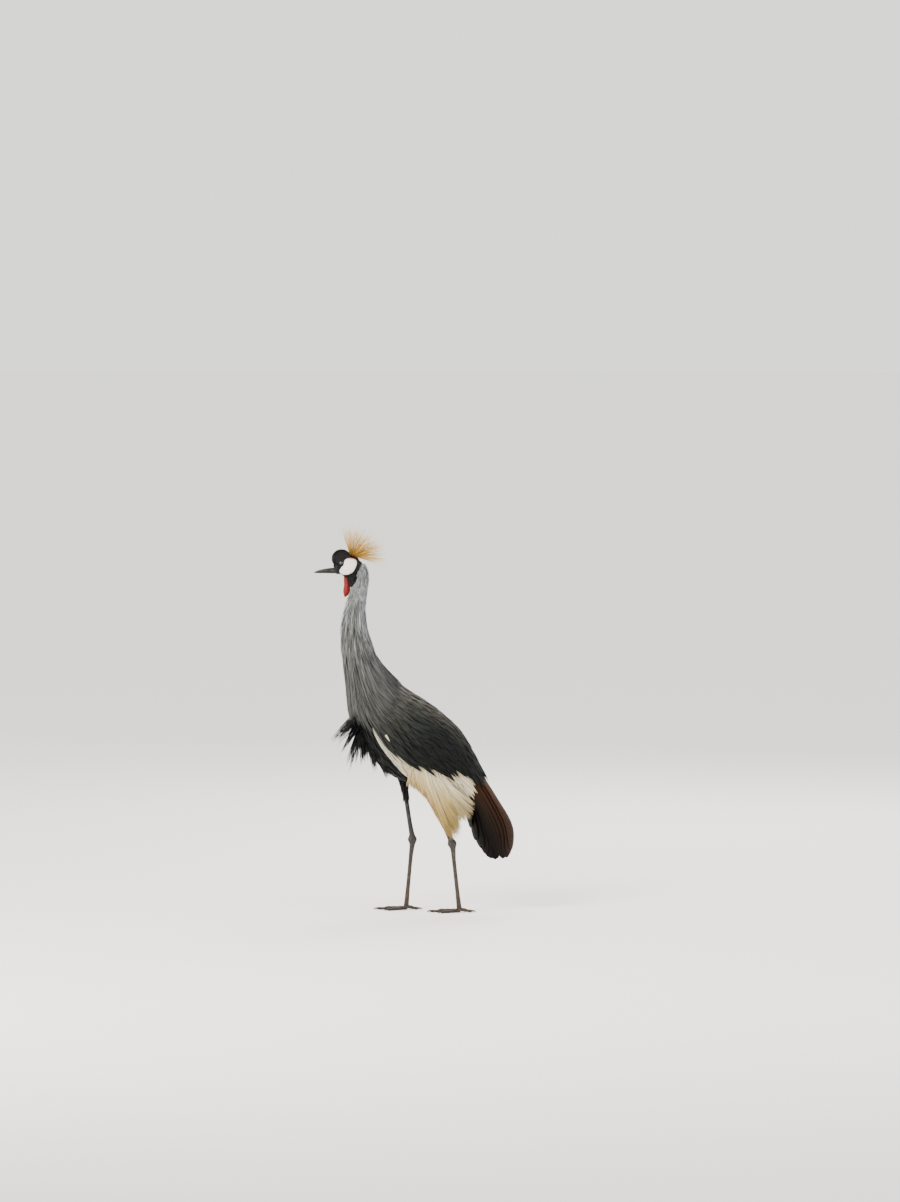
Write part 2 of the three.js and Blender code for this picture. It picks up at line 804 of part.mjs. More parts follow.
// The crown: stiff golden bristles in a fan from a pad on the back of the head.
const crownPlace = new Vector3(-177, 0, 1018);
const crownRows = [
  { lean: -14, count: 5, spread: 40 },
  { lean: 8, count: 7, spread: 54 },
  { lean: 30, count: 9, spread: 60 },
  { lean: 52, count: 9, spread: 60 },
  { lean: 74, count: 7, spread: 54 },
  { lean: 96, count: 5, spread: 40 },
];
const bristles = crownRows.flatMap(({ lean, count, spread }) =>
  Array.from({ length: count }, (_, i) => {
    const side = spread * ((2 * i) / (count - 1) - 1) + vary(3);
    const back = lean + vary(5);
    const aim = new Vector3(
      Math.sin(back * radian) * Math.cos(side * radian),
      -Math.sin(side * radian),
      Math.cos(back * radian) * Math.cos(side * radian),
    );
    const start = crownPlace.clone().add(aim.clone().multiply(new Vector3(11, 8.5, 4)));
    const end = start.clone().addScaledVector(aim, crownLength + vary(6) - 4);
    const turn = new THREE.Quaternion().setFromUnitVectors(new Vector3(0, 0, 1), aim);
    const ring = (radius, place) =>
      [0, 1, 2].map((corner) => {
        const at = (corner * 2 * Math.PI) / 3;
        return new Vector3(radius * Math.cos(at), radius * Math.sin(at), 0)
          .applyQuaternion(turn)
          .add(place);
      });
    return bodyOfRings([ring(0.8, start), ring(0.9, start.clone().lerp(end, 0.6))], { tip: end });
  }),
);
const crownPad = ellipsoid(crownPlace.toArray(), [14, 11, 6], [8, 5]);
addNode(
  "crown",
  fuse(crownPad, bristles)
    .subtract(headCutter)
    .subtract(cushion(clear)),
  finish(colours.gold, 0.6),
);

// Legs. Each is one body from the thigh to the toes, parted where the feathers end, above the ankle and
// above the foot; places are in side view, and legSpread tells how far out.
const legPlaces = [
  { name: "left", side: -1, hip: [-6, 496], knee: [12, 427], ankle: [111, 197], foot: [132, 0] },
  { name: "right", side: 1, hip: [-38, 510], knee: [-40, 449], ankle: [-3, 202], foot: [-21, 0] },
];
const thighLength = 112; // from the knee to where its feathers end
const ankleHeight = 15; // the part of the ankle above its middle
const footHeight = 17;
const hindLift = 3; // how far the hind toe's root stands above the others
const toeEnd = 3.6; // the height of the toes' middle at their ends
const toeSet = [
  { name: "middle", turn: 0, length: 80 },
  { name: "inner", turn: -32, length: 60 },
  { name: "outer", turn: 36, length: 63 },
  { name: "hind", turn: 180, length: 34 },
];
const alongside = (along) => new Vector3(-along.y, along.x, 0).normalize();
const aboveFloor = beyond(new Vector3(0, 0, 0), new Vector3(0, 0, 1), 0);

function toe(centre, aim, length, raised) {
  const at = (reach, height) =>
    centre.clone().addScaledVector(aim, reach).add(new Vector3(0, 0, height));
  const body = surfaceOf(
    [
      at(0, 5.8 + raised),
      at(length / 3, 4.6 + raised),
      at((length * 2) / 3, 3.9 + raised * 0.4),
      at(length, toeEnd),
      at((length * 4) / 3, toeEnd),
    ],
    [
      [1.15, 1.3, 1.15],
      [0.95, 1, 0.95],
      [0.8, 0.88, 0.82],
      [0.68, 0.8, 0.72],
      [0.68, 0.8, 0.72],
    ].map((size) => size.map((part) => part * toeRadius)),
    alongside,
  );
  const claw = surfaceOf(
    [at(length - 4, 3.9), at(length + 2, 4.3), at(length + 8, 3.8), at(length + 14, 1.1)],
    [
      [2.8, 2.8, 2.4],
      [2.6, 2.6, 2.2],
      [1.8, 1.8, 1.5],
      [0.4, 0.4, 0.4],
    ],
    alongside,
  );
  const end = at(length, toeEnd);
  return {
    body: loft(body, { to: 3.2, rings: 4, sides: 6 }).intersect(
      beyond(end, aim.clone().negate()),
    ),
    claw: loft(claw, { rings: 3, sides: 6 }).intersect(beyond(end, aim)),
  };
}

for (const { name, side, ...at } of legPlaces) {
  const place = ([x, z], out = 1) => new Vector3(x, side * legSpread * out, z);
  const [hip, knee, ankle, foot] = [
    place(at.hip, 0.85),
    place(at.knee),
    place(at.ankle),
    place(at.foot),
  ];
  const shin = ankle.clone().sub(knee).normalize();
  const edge = knee.clone().addScaledVector(shin, thighLength);
  const thigh = surfaceOf(
    [hip, knee, knee.clone().lerp(edge, 0.5), edge, edge.clone().addScaledVector(shin, 40)],
    [
      [34, 34, 20],
      [27, 27, 17],
      [16.5, 16.5, 13],
      [9, 9, 8.6],
      [8, 8, 7.6],
    ],
  );
  const tibia = surfaceOf(
    [knee, knee.clone().lerp(ankle, 0.6), ankle],
    [
      [7, 7, 6.4],
      [6.2, 6.2, 5.6],
      [7, 7, 5.8],
    ],
  );
  const tarsus = surfaceOf(
    [0, 0.25, 0.5, 0.75, 1].map((k) => ankle.clone().lerp(foot, k).setZ(5 + (1 - k) * (ankle.z - 5))),
    [
      [1.5, 1.5, 1.1],
      [1.02, 1.02, 0.8],
      [1, 1, 0.8],
      [1.06, 1.06, 0.86],
      [1.35, 1.35, 1.25],
    ].map((size) => size.map((part) => part * tarsusRadius)),
  );
  const locks = [0.45, 0.74].flatMap((k, row) =>
    Array.from({ length: 4 }, (_, i) =>
      feather(thigh, {
        from: [1 + 2 * k, (i + row / 2) * 90],
        to: [2.75 + 0.6 * row, (i + row / 2) * 90 + vary(6)],
        lifts: [-3, 2, 2.4],
        width: 15 - 4 * row,
        thick: 1.2,
        shape: shapes.plume,
      }),
    ),
  );
  const toes = toeSet.map(({ name: toeName, turn, length }) => {
    const aim = new Vector3(-1, 0, 0).applyAxisAngle(new Vector3(0, 0, 1), turn * side * radian);
    return { toeName, ...toe(foot, aim, length, toeName === "hind" ? hindLift : 0) };
  });
  const knob = ellipsoid(ankle.toArray(), [11, 8, 13], [8, 6]);
  const bones = fuse(
    loft(tibia, { rings: 4, sides: 8 }),
    knob,
    loft(tarsus, { rings: 5, sides: 8 }),
    toes.map(({ body }) => body),
  ).intersect(aboveFloor);
  const [lower, upper] = partAt(bones, edge, shin);
  const thighCore = loft(thigh, { to: 3.2, rings: 5, sides: 8 }).intersect(
    beyond(edge, shin.clone().negate()),
  );
  const wing = wingPlate({ high: (s) => between(wingEdge, s) + 7, outer: -8 }, clear);
  addNode(
    `leg_${name}_thigh`,
    fuse(thighCore, upper, locks)
      .subtract(fleshCutter)
      .subtract(side < 0 ? wing : mirrored(wing)),
    finish(colours.breast),
  );
  const [belowAnkle, bareTibia] = partAt(
    lower,
    ankle.clone().addScaledVector(shin, -ankleHeight),
    shin,
  );
  addNode(`leg_${name}_tibia`, bareTibia, finish(colours.leg, 0.6));
  const [tarsusBody, footBody] = partAt(
    belowAnkle,
    foot.clone().add(new Vector3(0, 0, footHeight)),
    new Vector3(0, 0, 1),
  );
  addNode(`leg_${name}_tarsus`, tarsusBody, finish(colours.leg, 0.6));
  addNode(`foot_${name}`, footBody, finish(colours.leg, 0.6));
  for (const { toeName, claw } of toes) {
    addNode(`foot_${name}_claw_${toeName}`, claw, finish(colours.claw, 0.4));
  }
}

export default model;
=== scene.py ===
import math

import bmesh
import bpy
import numpy as np
from mathutils import Matrix, Vector


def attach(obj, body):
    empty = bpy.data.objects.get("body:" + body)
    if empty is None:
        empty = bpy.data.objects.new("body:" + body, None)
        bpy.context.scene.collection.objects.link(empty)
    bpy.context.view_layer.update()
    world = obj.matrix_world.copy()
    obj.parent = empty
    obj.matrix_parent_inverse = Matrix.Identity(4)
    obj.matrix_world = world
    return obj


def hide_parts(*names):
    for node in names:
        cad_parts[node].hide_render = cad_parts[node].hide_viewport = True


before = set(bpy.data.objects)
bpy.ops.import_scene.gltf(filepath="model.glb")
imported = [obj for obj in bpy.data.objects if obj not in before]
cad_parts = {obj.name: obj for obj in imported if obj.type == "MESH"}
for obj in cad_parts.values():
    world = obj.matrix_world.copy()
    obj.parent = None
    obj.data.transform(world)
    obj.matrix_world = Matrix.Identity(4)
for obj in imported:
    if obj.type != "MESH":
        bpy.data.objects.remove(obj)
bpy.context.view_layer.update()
mm = 0.001
rng = np.random.default_rng(23)


def vary(amount, count):
    return rng.uniform(-amount, amount, count)


def sized(s, value, unevenness):  # a size, or one that changes with the station, a little different each time
    base = np.interp(s, *value) if isinstance(value, tuple) else value
    return base * (1 + vary(unevenness, len(s)))


def shade(hexColour):
    part = np.array([int(hexColour[i : i + 2], 16) / 255 for i in (1, 3, 5)])
    return np.where(part <= 0.04045, part / 12.92, ((part + 0.055) / 1.055) ** 2.4)


def rgba(hexColour):
    return (*shade(hexColour), 1)


def ramp(x, places, hexColours):
    colours = np.array([shade(h) for h in hexColours.split()])
    return np.stack([np.interp(x, places, colours[:, i]) for i in range(3)], -1)


def smoothstep(low, high, x):
    t = np.clip((x - low) / (high - low), 0, 1)
    return t * t * (3 - 2 * t)


def unit(v):
    return v / np.maximum(np.linalg.norm(v, axis=-1, keepdims=True), 1e-9)


def link(thing):
    bpy.context.scene.collection.objects.link(thing)
    return thing


# Camera and light. The camera stands where the photograph was taken from, twenty metres away. Each soft
# box: place, size, power and colour.
view = {"place": (0.105, -20.0, 2.06), "pitch": -3.35, "lens": 210, "sensor": 36, "farthest": 200}
studio = {
    "sky": "#fbfaf8",
    "skyPower": 1.2,
    "floor": "#fbfaf8",
    "floorRadius": 60,
    "aim": (0, 0, 0.55),
    "boxes": {
        "keyLight": ((-2.6, -3.2, 3.6), 2.2, 210, "#fff4e2"),
        "fillLight": ((3.4, -2.6, 1.8), 3.0, 42, "#eef3ff"),
        "rimLight": ((1.2, 3.4, 3.2), 2.4, 80, "#ffffff"),
    },
}


def makeCamera():
    data = bpy.data.cameras.new("camera")
    data.lens, data.sensor_width, data.clip_end = view["lens"], view["sensor"], view["farthest"]
    camera = link(bpy.data.objects.new("camera", data))
    camera.location = view["place"]
    camera.rotation_euler = (math.radians(90 + view["pitch"]), 0, 0)
    bpy.context.scene.camera = camera


def makeLights():
    for name, (place, size, power, colour) in studio["boxes"].items():
        data = bpy.data.lights.new(name, "AREA")
        data.size, data.energy, data.color = size, power, tuple(shade(colour))
        light = link(bpy.data.objects.new(name, data))
        light.location = place
        light.rotation_euler = (Vector(studio["aim"]) - Vector(place)).to_track_quat("-Z", "Y").to_euler()
    world = bpy.data.worlds.new("studio")
    world.use_nodes = True
    back = world.node_tree.nodes["Background"]
    back.inputs["Color"].default_value = rgba(studio["sky"])
    back.inputs["Strength"].default_value = studio["skyPower"]
    bpy.context.scene.world = world
    bpy.context.scene.view_settings.look = "AgX - Medium High Contrast"


# Adds a shader node. Each input is given a value or the socket that it comes from.
def addNode(tree, kind, inputs, **options):
    node = tree.nodes.new("ShaderNode" + kind)
    for key, value in options.items():
        setattr(node, key, value)
    for key, value in inputs.items():
        if isinstance(value, bpy.types.NodeSocket):
            tree.links.new(value, node.inputs[key])
        else:
            node.inputs[key].default_value = value
    return node


def ranged(tree, value, low=0.0, high=1.0, toLow=0.0, toHigh=1.0):
    limits = {"From Min": low, "From Max": high, "To Min": toLow, "To Max": toHigh, "Value": value}
    return addNode(tree, "MapRange", limits).outputs["Result"]


def mixed(tree, first, second, factor):
    return addNode(tree, "Mix", {"Factor": factor, 6: first, 7: second}, data_type="RGBA").outputs[2]


def multiplied(tree, first, second, factor=1.0):
    inputs = {"Factor": factor, 6: first, 7: second}
    return addNode(tree, "Mix", inputs, data_type="RGBA", blend_type="MULTIPLY").outputs[2]


def addScaled(tree, first, scale, second):
    return addNode(tree, "Math", {0: first, 1: scale, 2: second}, operation="MULTIPLY_ADD").outputs[0]


def ownTint(tree):
    return addNode(tree, "Attribute", {}, attribute_name="tint").outputs["Color"]


def vanePlace(tree):
    return addNode(tree, "UVMap", {}, uv_map="vane").outputs["UV"]


def ownPlace(tree):
    return addNode(tree, "TexCoord", {}).outputs["Object"]


def noise(tree, place, scale, **more):
    return addNode(tree, "TexNoise", {"Scale": scale, "Vector": place, **more}).outputs["Fac"]


def cellEdges(tree, place, scale, width, randomness=1.0):
    inputs = {"Scale": scale, "Randomness": randomness, "Vector": place}
    cells = addNode(tree, "TexVoronoi", inputs, feature="DISTANCE_TO_EDGE")
    return ranged(tree, cells.outputs["Distance"], high=width)


def newMaterial(name, **settings):
    material = bpy.data.materials.new(name)
    material.use_nodes = True
    shader = material.node_tree.nodes["Principled BSDF"]
    for key, value in settings.items():
        shader.inputs[key.replace("_", " ")].default_value = value
    return material, material.node_tree, shader


# The colour, and the bump that a height gives: how strong, and how many metres high.
def surfaced(tree, shader, colour, height, strength, distance):
    bump = addNode(tree, "Bump", {"Strength": strength, "Distance": distance, "Height": height})
    tree.links.new(bump.outputs["Normal"], shader.inputs["Normal"])
    tree.links.new(colour, shader.inputs["Base Color"])


# Feather vanes: keratin barbs on a shaft. The barbs are drawn about five times too wide, or they would
# not show; their slope, the shaft and a soft unevenness are what tells feather from cloth. Each kind: width
# of a barb, roughness, sheen, contrast of the barbs, the shaft, how much of it shows, and gloss.
featherKinds = {
    "slateContourFeathers": (1.5, 0.6, 0.02, 0.3, "#2a2826", 0.2, 0.22),
    "creamContourFeathers": (1.8, 0.7, 0.1, 0.14, "#b5ab90", 0.3, 0.35),
    "strawPlumes": (1.4, 0.72, 0.2, 0.14, "#9c8a5e", 0.2, 0.35),
    "chestnutFlightFeathers": (1.6, 0.55, 0.02, 0.22, "#1d100b", 0.35, 0.2),
    "blackFlightFeathers": (1.6, 0.48, 0.0, 0.25, "#0b0a0a", 0.35, 0.15),
    "blackTailFeathers": (2.4, 0.48, 0.0, 0.25, "#0b0a0a", 0.35, 0.15),
    "greyNeckPlumes": (1.4, 0.7, 0.08, 0.17, "#8f9291", 0.25, 0.25),
    "greyNeckFeathers": (1.6, 0.75, 0.2, 0.12, "#8d9194", 0.15, 0.35),
    "blackBodyFeathers": (1.8, 0.6, 0.04, 0.25, "#0d0d0e", 0.35, 0.22),
    "blackBreastPlumes": (2.0, 0.5, 0.04, 0.3, "#0d0d0e", 0.35, 0.25),
    "blackThighFeathers": (1.8, 0.6, 0.04, 0.25, "#0d0d0e", 0.35, 0.22),
    "blackHeadFeathers": (1.2, 0.9, 0.2, 0.07, "#0c0c0c", 0.0, 0.2),
    "blackForeheadVelvet": (1.0, 0.95, 0.35, 0.1, "#0c0c0c", 0.0, 0.35),
}
# length: what one wave of the texture takes up at scale 1, in the centimetres of the vane map.
barbWave = {
    "length": 2 * math.pi / 20, "slope": -1.3, "unevenness": {"Distortion": 1.6, "Detail": 2.0, "Detail Scale": 1.3},
}


def featherMaterial(name):
    barb, roughness, sheen, contrast, shaft, shaftMix, gloss = featherKinds[name]
    material, tree, shader = newMaterial(
        name, Roughness=roughness, Sheen_Weight=sheen, Sheen_Roughness=0.5, Specular_IOR_Level=gloss
    )
    axes = addNode(tree, "SeparateXYZ", {"Vector": vanePlace(tree)}).outputs
    away = addNode(tree, "Math", {0: axes["X"]}, operation="ABSOLUTE").outputs[0]
    row = addNode(tree, "CombineXYZ", {"X": addScaled(tree, away, barbWave["slope"], axes["Y"]), "Y": axes["X"]})
    scale = barbWave["length"] / (barb / 10)
    wave = {"Scale": scale, "Vector": row.outputs[0], **barbWave["unevenness"]}
    barbs = addNode(tree, "TexWave", wave).outputs["Fac"]
    striped = multiplied(tree, ownTint(tree), ranged(tree, barbs, toLow=1 - contrast, toHigh=1.08))
    colour = mixed(tree, striped, rgba(shaft), ranged(tree, away, 0.03, 0.07, shaftMix, 0.0))
    surfaced(tree, shader, colour, barbs, 1.7 * contrast, 0.0004)
    return material


# The surfaces that the plumage lies on, the same as in the solids. Stations run from the folded wing tips
# along the back and up the neck to the nape: x, z, then for each surface the depth to the back, the depth
# to the belly and the half-width.
stations = [
    (243, 141, (3, 3, 3), (36, 26, 24), (10, 10, 10)),
    (228, 222, (3, 3, 3), (61, 47, 46), (10, 10, 10)),
    (197, 308, (4, 4, 4), (51, 48, 62), (10, 10, 10)),
    (145, 388, (43, 42, 44), (60, 82, 80), (10, 10, 10)),
    (80, 450, (71, 110, 72), (87, 120, 97), (95, 124, 100)),
    (10, 505, (80, 134, 84), (95, 142, 107), (102, 146, 112)),
    (-55, 557, (74, 120, 84), (89, 130, 107), (96, 132, 112)),
    (-100, 608, (62, 86, 66), (76, 96, 84), (84, 97, 92)),
    (-130, 662, (46, 50, 44), (58, 58, 58), (68, 64, 68)),
    (-148, 716, (33, 34, 31), (33, 34, 31), (51, 51, 48)),
    (-160, 772, (29, 30, 27), (29, 30, 27), (43, 45, 40)),
    (-166, 832, (27, 27, 24), (27, 27, 24), (35, 36, 33)),
    (-160, 893, (25, 25, 22), (25, 25, 22), (27, 27, 24)),
    (-150, 942, (22, 22, 20), (22, 22, 20), (22, 22, 20)),
    (-147, 970, (19, 19, 17), (19, 19, 17), (19, 19, 17)),
    (-149, 996, (11, 10, 10), (11, 10, 10), (11, 10, 10)),
]


def surfaceOf(places, sizes, side=(0, -1, 0)):
    line = np.array([p if len(p) == 3 else (p[0], 0, p[1]) for p in places], float)
    return {"line": line, "sizes": np.array(sizes, float), "side": np.array(side, float)}


spine = [station[:2] for station in stations]
lineEnd = 0.01  # the first station that is still well inside a line
flesh, cloak, ruff = (surfaceOf(spine, [station[i] for station in stations]) for i in (2, 3, 4))


def smoothCurve(points, t):
    ends = np.vstack([2 * points[0] - points[1], points, 2 * points[-1] - points[-2]])
    t = np.clip(t, 0, len(points) - 1)
    i = np.minimum(t.astype(int), len(points) - 2)
    w = (t - i)[..., None]
    a, b, c, d = (ends[i + k] for k in range(4))
    m, n = (c - a) / 2, (d - b) / 2
    p, q = 3 * (c - b) - 2 * m - n, 2 * (b - c) + m + n
    return b + m * w + p * w**2 + q * w**3, m + 2 * p * w + 3 * q * w**2


# Angle 0 is the bird's back, 90 its left side and 180 its belly; lift is the height over the surface.
def onSurface(surface, s, angle, lift=0.0):
    s, angle, lift = np.broadcast_arrays(*(np.asarray(v, float) for v in (s, angle, lift)))
    middle, along = smoothCurve(surface["line"], s)
    size, _ = smoothCurve(surface["sizes"], s)
    side = surface["side"]
    up = unit(np.cross(unit(along), side))
    c, d = np.cos(np.radians(angle))[..., None], np.sin(np.radians(angle))[..., None]
    depth = np.where(c >= 0, size[..., :1], size[..., 1:2])
    out = unit(up * c / depth + side * d / size[..., 2:])
    return middle + up * depth * c + side * size[..., 2:] * d + out * lift[..., None], out


def arcLength(surface, s, angle):  # millimetres round the surface for one degree
    ahead, _ = onSurface(surface, s, np.asarray(angle) + 1)
    behind, _ = onSurface(surface, s, np.asarray(angle) - 1)
    return np.linalg.norm(ahead - behind, axis=-1) / 2


def spanLength(surface, s):  # millimetres along the line for one station
    _, slope = smoothCurve(surface["line"], np.asarray(s, float))
    return np.linalg.norm(slope, axis=-1)


# Outlines of vanes: half-width along them. Sections: round a vane, sideways and up.
quillSpots = np.append(np.linspace(0, 0.8, 17), 0.8 + 0.2 * np.sin(np.linspace(0, np.pi / 2, 9)[1:]))
quillEnd = np.sqrt(1 - 0.998 * (np.maximum(quillSpots - 0.8, 0) / 0.2) ** 2)
outlines = {
    "plume": ([0, 0.14, 0.36, 0.6, 0.82, 1], [0.4, 0.8, 1, 0.78, 0.42, 0.03]),
    "lance": ([0, 0.12, 0.28, 0.45, 0.6, 0.75, 0.88, 1], [0.5, 0.8, 0.97, 1, 0.92, 0.7, 0.38, 0.03]),
    "quill": (quillSpots, (1 - 0.7 * np.exp(-quillSpots / 0.07)) * quillEnd),
    "short": ([0, 0.35, 0.72, 1], [0.6, 1, 0.7, 0.06]),
    "tuft": ([0, 0.5, 1], [0.8, 0.8, 0.05]),
    "spike": ([0, 0.3, 0.65, 1], [0.5, 1, 0.62, 0.03]),
    "bristle": ([0, 0.15, 0.3, 0.5, 0.7, 0.86, 1], [1, 1, 1, 0.95, 0.85, 0.65, 0.1]),
}
sections = {
    "keel": (np.array([-1, 0, 1, 0]), np.array([0, 1, 0, -1])),
    "vane": (
        np.array([-1, -0.7, -0.35, -0.06, 0, 0.06, 0.35, 0.7, 1, 0.7, 0.35, 0, -0.35, -0.7]),
        np.array([0, 0.3, 0.4, 0.5, 1, 0.5, 0.4, 0.3, 0, -0.3, -0.4, -0.5, -0.4, -0.3]),
    ),
    "three": (np.array([-1, 0, 1]), np.array([-0.4, 1, -0.4])),
}


def spots(outline):
    return np.array(outlines[outline][0])


def quadratic(a, b, c, k):
    return a * (1 - k) ** 2 + 2 * b * k * (1 - k) + c * k**2


def bowed(root, bend, tip):
    return quadratic(root[:, None], bend[:, None], tip[:, None], spots("plume")[None, :, None])


def column(value, count):
    return np.broadcast_to(np.asarray(value, float), (count,))[:, None]


# The shape of vanes: places along them, half-widths with the section's sides, and heights over the middle.
# form is outline, section and thickness.
def vaneShape(form, width, ragged):
    outline, section, thick = form
    k, wide = (np.array(part) for part in outlines[outline])
    side, high = sections[section]
    half = width / 2 * wide * (1 + vary(ragged, (len(width), len(k))))
    rise = high * thick / 2 * np.interp(k, [0, 0.7, 1], [1, 0.8, 0.2])[None, :, None]
    return k, half[..., None] * side, rise


# Vanes that lie on a surface, running towards its first station. lifts: heights of root, middle and tip.
def layVanes(surface, s, angle, length, width, lifts, form, drift, curl, roll, ragged=0.07):
    s, angle, length, width, low, mid, top, drift, curl, roll = (
        column(v, len(s)) for v in (s, angle, length, width, *lifts, drift, curl, roll)
    )
    k, half, rise = vaneShape(form, width, ragged)
    station = s - length / spanLength(surface, s - 0.5 * length / spanLength(surface, s)) * k
    turn = angle + drift * k + curl * k**2
    across = turn[..., None] + half / arcLength(surface, station, turn)[..., None]
    lift = quadratic(low, mid, top, k)[..., None] + rise - np.sin(np.radians(roll))[..., None] * half
    rings, _ = onSurface(surface, np.maximum(station, lineEnd)[..., None], across, lift)
    past = np.minimum(station, lineEnd) - lineEnd  # the last tips run straight on past the first station
    rings = rings + past[..., None, None] * (surface["line"][1] - surface["line"][0])
    return rings, np.stack([half / 10, np.broadcast_to((length * k)[..., None] / 10, half.shape)], -1)


# Vanes in free space along paths of one row of places each, with their upper sides facing out.
def bladesAlong(path, out, width, form, roll=0.0, ragged=0.07):
    width, roll = column(width, len(path)), np.radians(column(roll, len(path)))[..., None]
    along = unit(np.gradient(path, axis=1))
    across = unit(np.cross(along, np.broadcast_to(out, path.shape)))
    up = np.cross(across, along)
    across, up = across * np.cos(roll) + up * np.sin(roll), up * np.cos(roll) - across * np.sin(roll)
    _, half, rise = vaneShape(form, width, ragged)
    rings = path[:, :, None] + across[:, :, None] * half[..., None] + up[:, :, None] * rise[..., None]
    reach = np.cumsum(np.linalg.norm(np.diff(path, axis=1, prepend=path[:, :1]), axis=-1), 1)
    return rings, np.stack([half / 10, np.broadcast_to(reach[..., None] / 10, half.shape)], -1)


# Rows of roots on a surface, staggered and a little uneven. rows: first and last station, distances along
# and across, unevenness.
def rootRows(surface, rows, edges):
    s, last, along, across, jitter = rows
    found = []
    while s > last:
        low, high = edges(s)
        arc, span = float(arcLength(surface, s, (low + high) / 2)), float(spanLength(surface, s))
        count = max(1, round((high - low) * arc / across))
        angle = low + (np.arange(count) + 0.25 + 0.5 * (len(found) % 2)) * (high - low) / count
        angle = angle + vary(jitter * across / arc, count)
        found.append(np.stack([s + vary(jitter * along / span, count), angle], 1))
        s -= along / span
    return np.vstack(found)


def fullTurn(s):
    return -180, 180


def bothSides(roots):
    return np.vstack([roots, roots * [1, -1]])


# Loose plumes gather into locks: the angle of each one's lock, and a chance value that the lock shares.
def locksOf(s, angle, alongStep, angleStep):
    row = np.floor(s / alongStep)
    shift = 0.5 * (row % 2)
    place = np.floor(angle / angleStep + shift)
    _, lock = np.unique(row * 1000 + place, return_inverse=True)
    return (place + 0.5 - shift) * angleStep, rng.uniform(-1, 1, lock.max() + 1)[lock]


# A mesh of many closed vanes or tubes: rings is one array of places, by vane, ring and corner. Each vane
# has its own small patch in the bake map, placed by its root.
rimAngle = 60  # edges sharper than this are shaded crisply
bake = {"spread": 0.99, "margin": 0.004, "patch": 0.003}


def ringMesh(name, rings, tint, roots=None, vane=None, crisp=False):
    count, along, around, _ = rings.shape
    k, r = np.meshgrid(np.arange(along - 1), np.arange(around), indexing="ij")
    ahead = (r + 1) % around
    quads = np.stack([k * around + r, k * around + ahead, (k + 1) * around + ahead, (k + 1) * around + r], -1)
    caps = np.concatenate([np.arange(around)[::-1], (along - 1) * around + np.arange(around)])
    corners = np.concatenate([quads.ravel(), caps])
    sides = (along - 1) * around
    starts = np.concatenate([np.arange(sides) * 4, sides * 4 + np.arange(2) * around])
    shift = np.arange(count)[:, None]
    starts = (starts + shift * len(corners)).ravel()
    corners = (corners + shift * along * around).ravel()
    mesh = bpy.data.meshes.new(name)
    mesh.vertices.add(count * along * around)
    mesh.vertices.foreach_set("co", (rings * mm).astype(np.float32).ravel())
    mesh.loops.add(len(corners))
    mesh.loops.foreach_set("vertex_index", corners.astype(np.int32))
    mesh.polygons.add(len(starts))
    mesh.polygons.foreach_set("loop_start", starts.astype(np.int32))
    mesh.update(calc_edges=True)
    mesh.validate()
    if crisp:  # so that both faces of a thin vane are shaded evenly
        mesh.set_sharp_from_angle(angle=np.radians(rimAngle))
    if roots is not None:
        spread = (roots - roots.min(0)) / np.maximum(np.ptp(roots, axis=0), 1e-6) * bake["spread"] + bake["margin"]
        round_, on = (np.arange(around) / around)[None, :], (np.arange(along) / along)[:, None]
        patch = spread[:, None, None] + bake["patch"] * np.stack(np.broadcast_arrays(round_, on), -1)[None]
        addUv(mesh, "OFBake", patch.reshape(-1, 2)[corners])
        addUv(mesh, "vane", vane.reshape(-1, 2)[corners])
    paint(mesh, np.broadcast_to(tint, (count, along, around, 3)).reshape(-1, 3))
    return placed(name, mesh)


def meshOf(shape, name):
    mesh = bpy.data.meshes.new(name)
    shape.to_mesh(mesh)
    shape.free()
    return mesh


def placesOf(mesh):
    places = np.empty(len(mesh.vertices) * 3, np.float32)
    mesh.vertices.foreach_get("co", places)
    return places.reshape(-1, 3) / mm


# Closed tubes: each starts as a flat grid, is wrapped round its rings, welded and given its ends.
def tubes(name, ringsOfEach, tintOf):
    shape = bmesh.new()
    for rings in ringsOfEach:
        along, around = rings.shape[:2]
        grid = bmesh.ops.create_grid(shape, x_segments=around, y_segments=along - 1, size=1)
        wrapped = np.concatenate([rings, rings[:, :1]], 1).reshape(-1, 3) * mm
        for vert, place in zip(grid["verts"], wrapped):
            vert.co = place
    bmesh.ops.remove_doubles(shape, verts=shape.verts, dist=1e-6)
    bmesh.ops.holes_fill(shape, edges=[edge for edge in shape.edges if edge.is_boundary])
    bmesh.ops.recalc_face_normals(shape, faces=shape.faces)
    mesh = meshOf(shape, name)
    paint(mesh, tintOf(placesOf(mesh)))
    return placed(name, mesh)


def evenly(hexColour):
    return lambda places: np.tile(shade(hexColour), (len(places), 1))


def addUv(mesh, name, places):
    layer = mesh.uv_layers.new(name=name)
    layer.data.foreach_set("uv", places.astype(np.float32).ravel())


def paint(mesh, colours):
    layer = mesh.color_attributes.new("tint", "FLOAT_COLOR", "POINT")
    full = np.concatenate([colours, np.ones((len(colours), 1))], 1)
    layer.data.foreach_set("color", full.astype(np.float32).ravel())


def placed(name, mesh):
    mesh.polygons.foreach_set("use_smooth", np.ones(len(mesh.polygons), bool))
    return link(bpy.data.objects.new(name, mesh))


def dress(piece, material, nodes=()):
    piece.data.materials.clear()
    piece.data.materials.append(material)
    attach(piece, "root")
    if nodes:
        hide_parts(*nodes)
    triangles = sum(len(p.vertices) - 2 for p in piece.data.polygons)
    print(f"{piece.name}: {triangles} triangles")


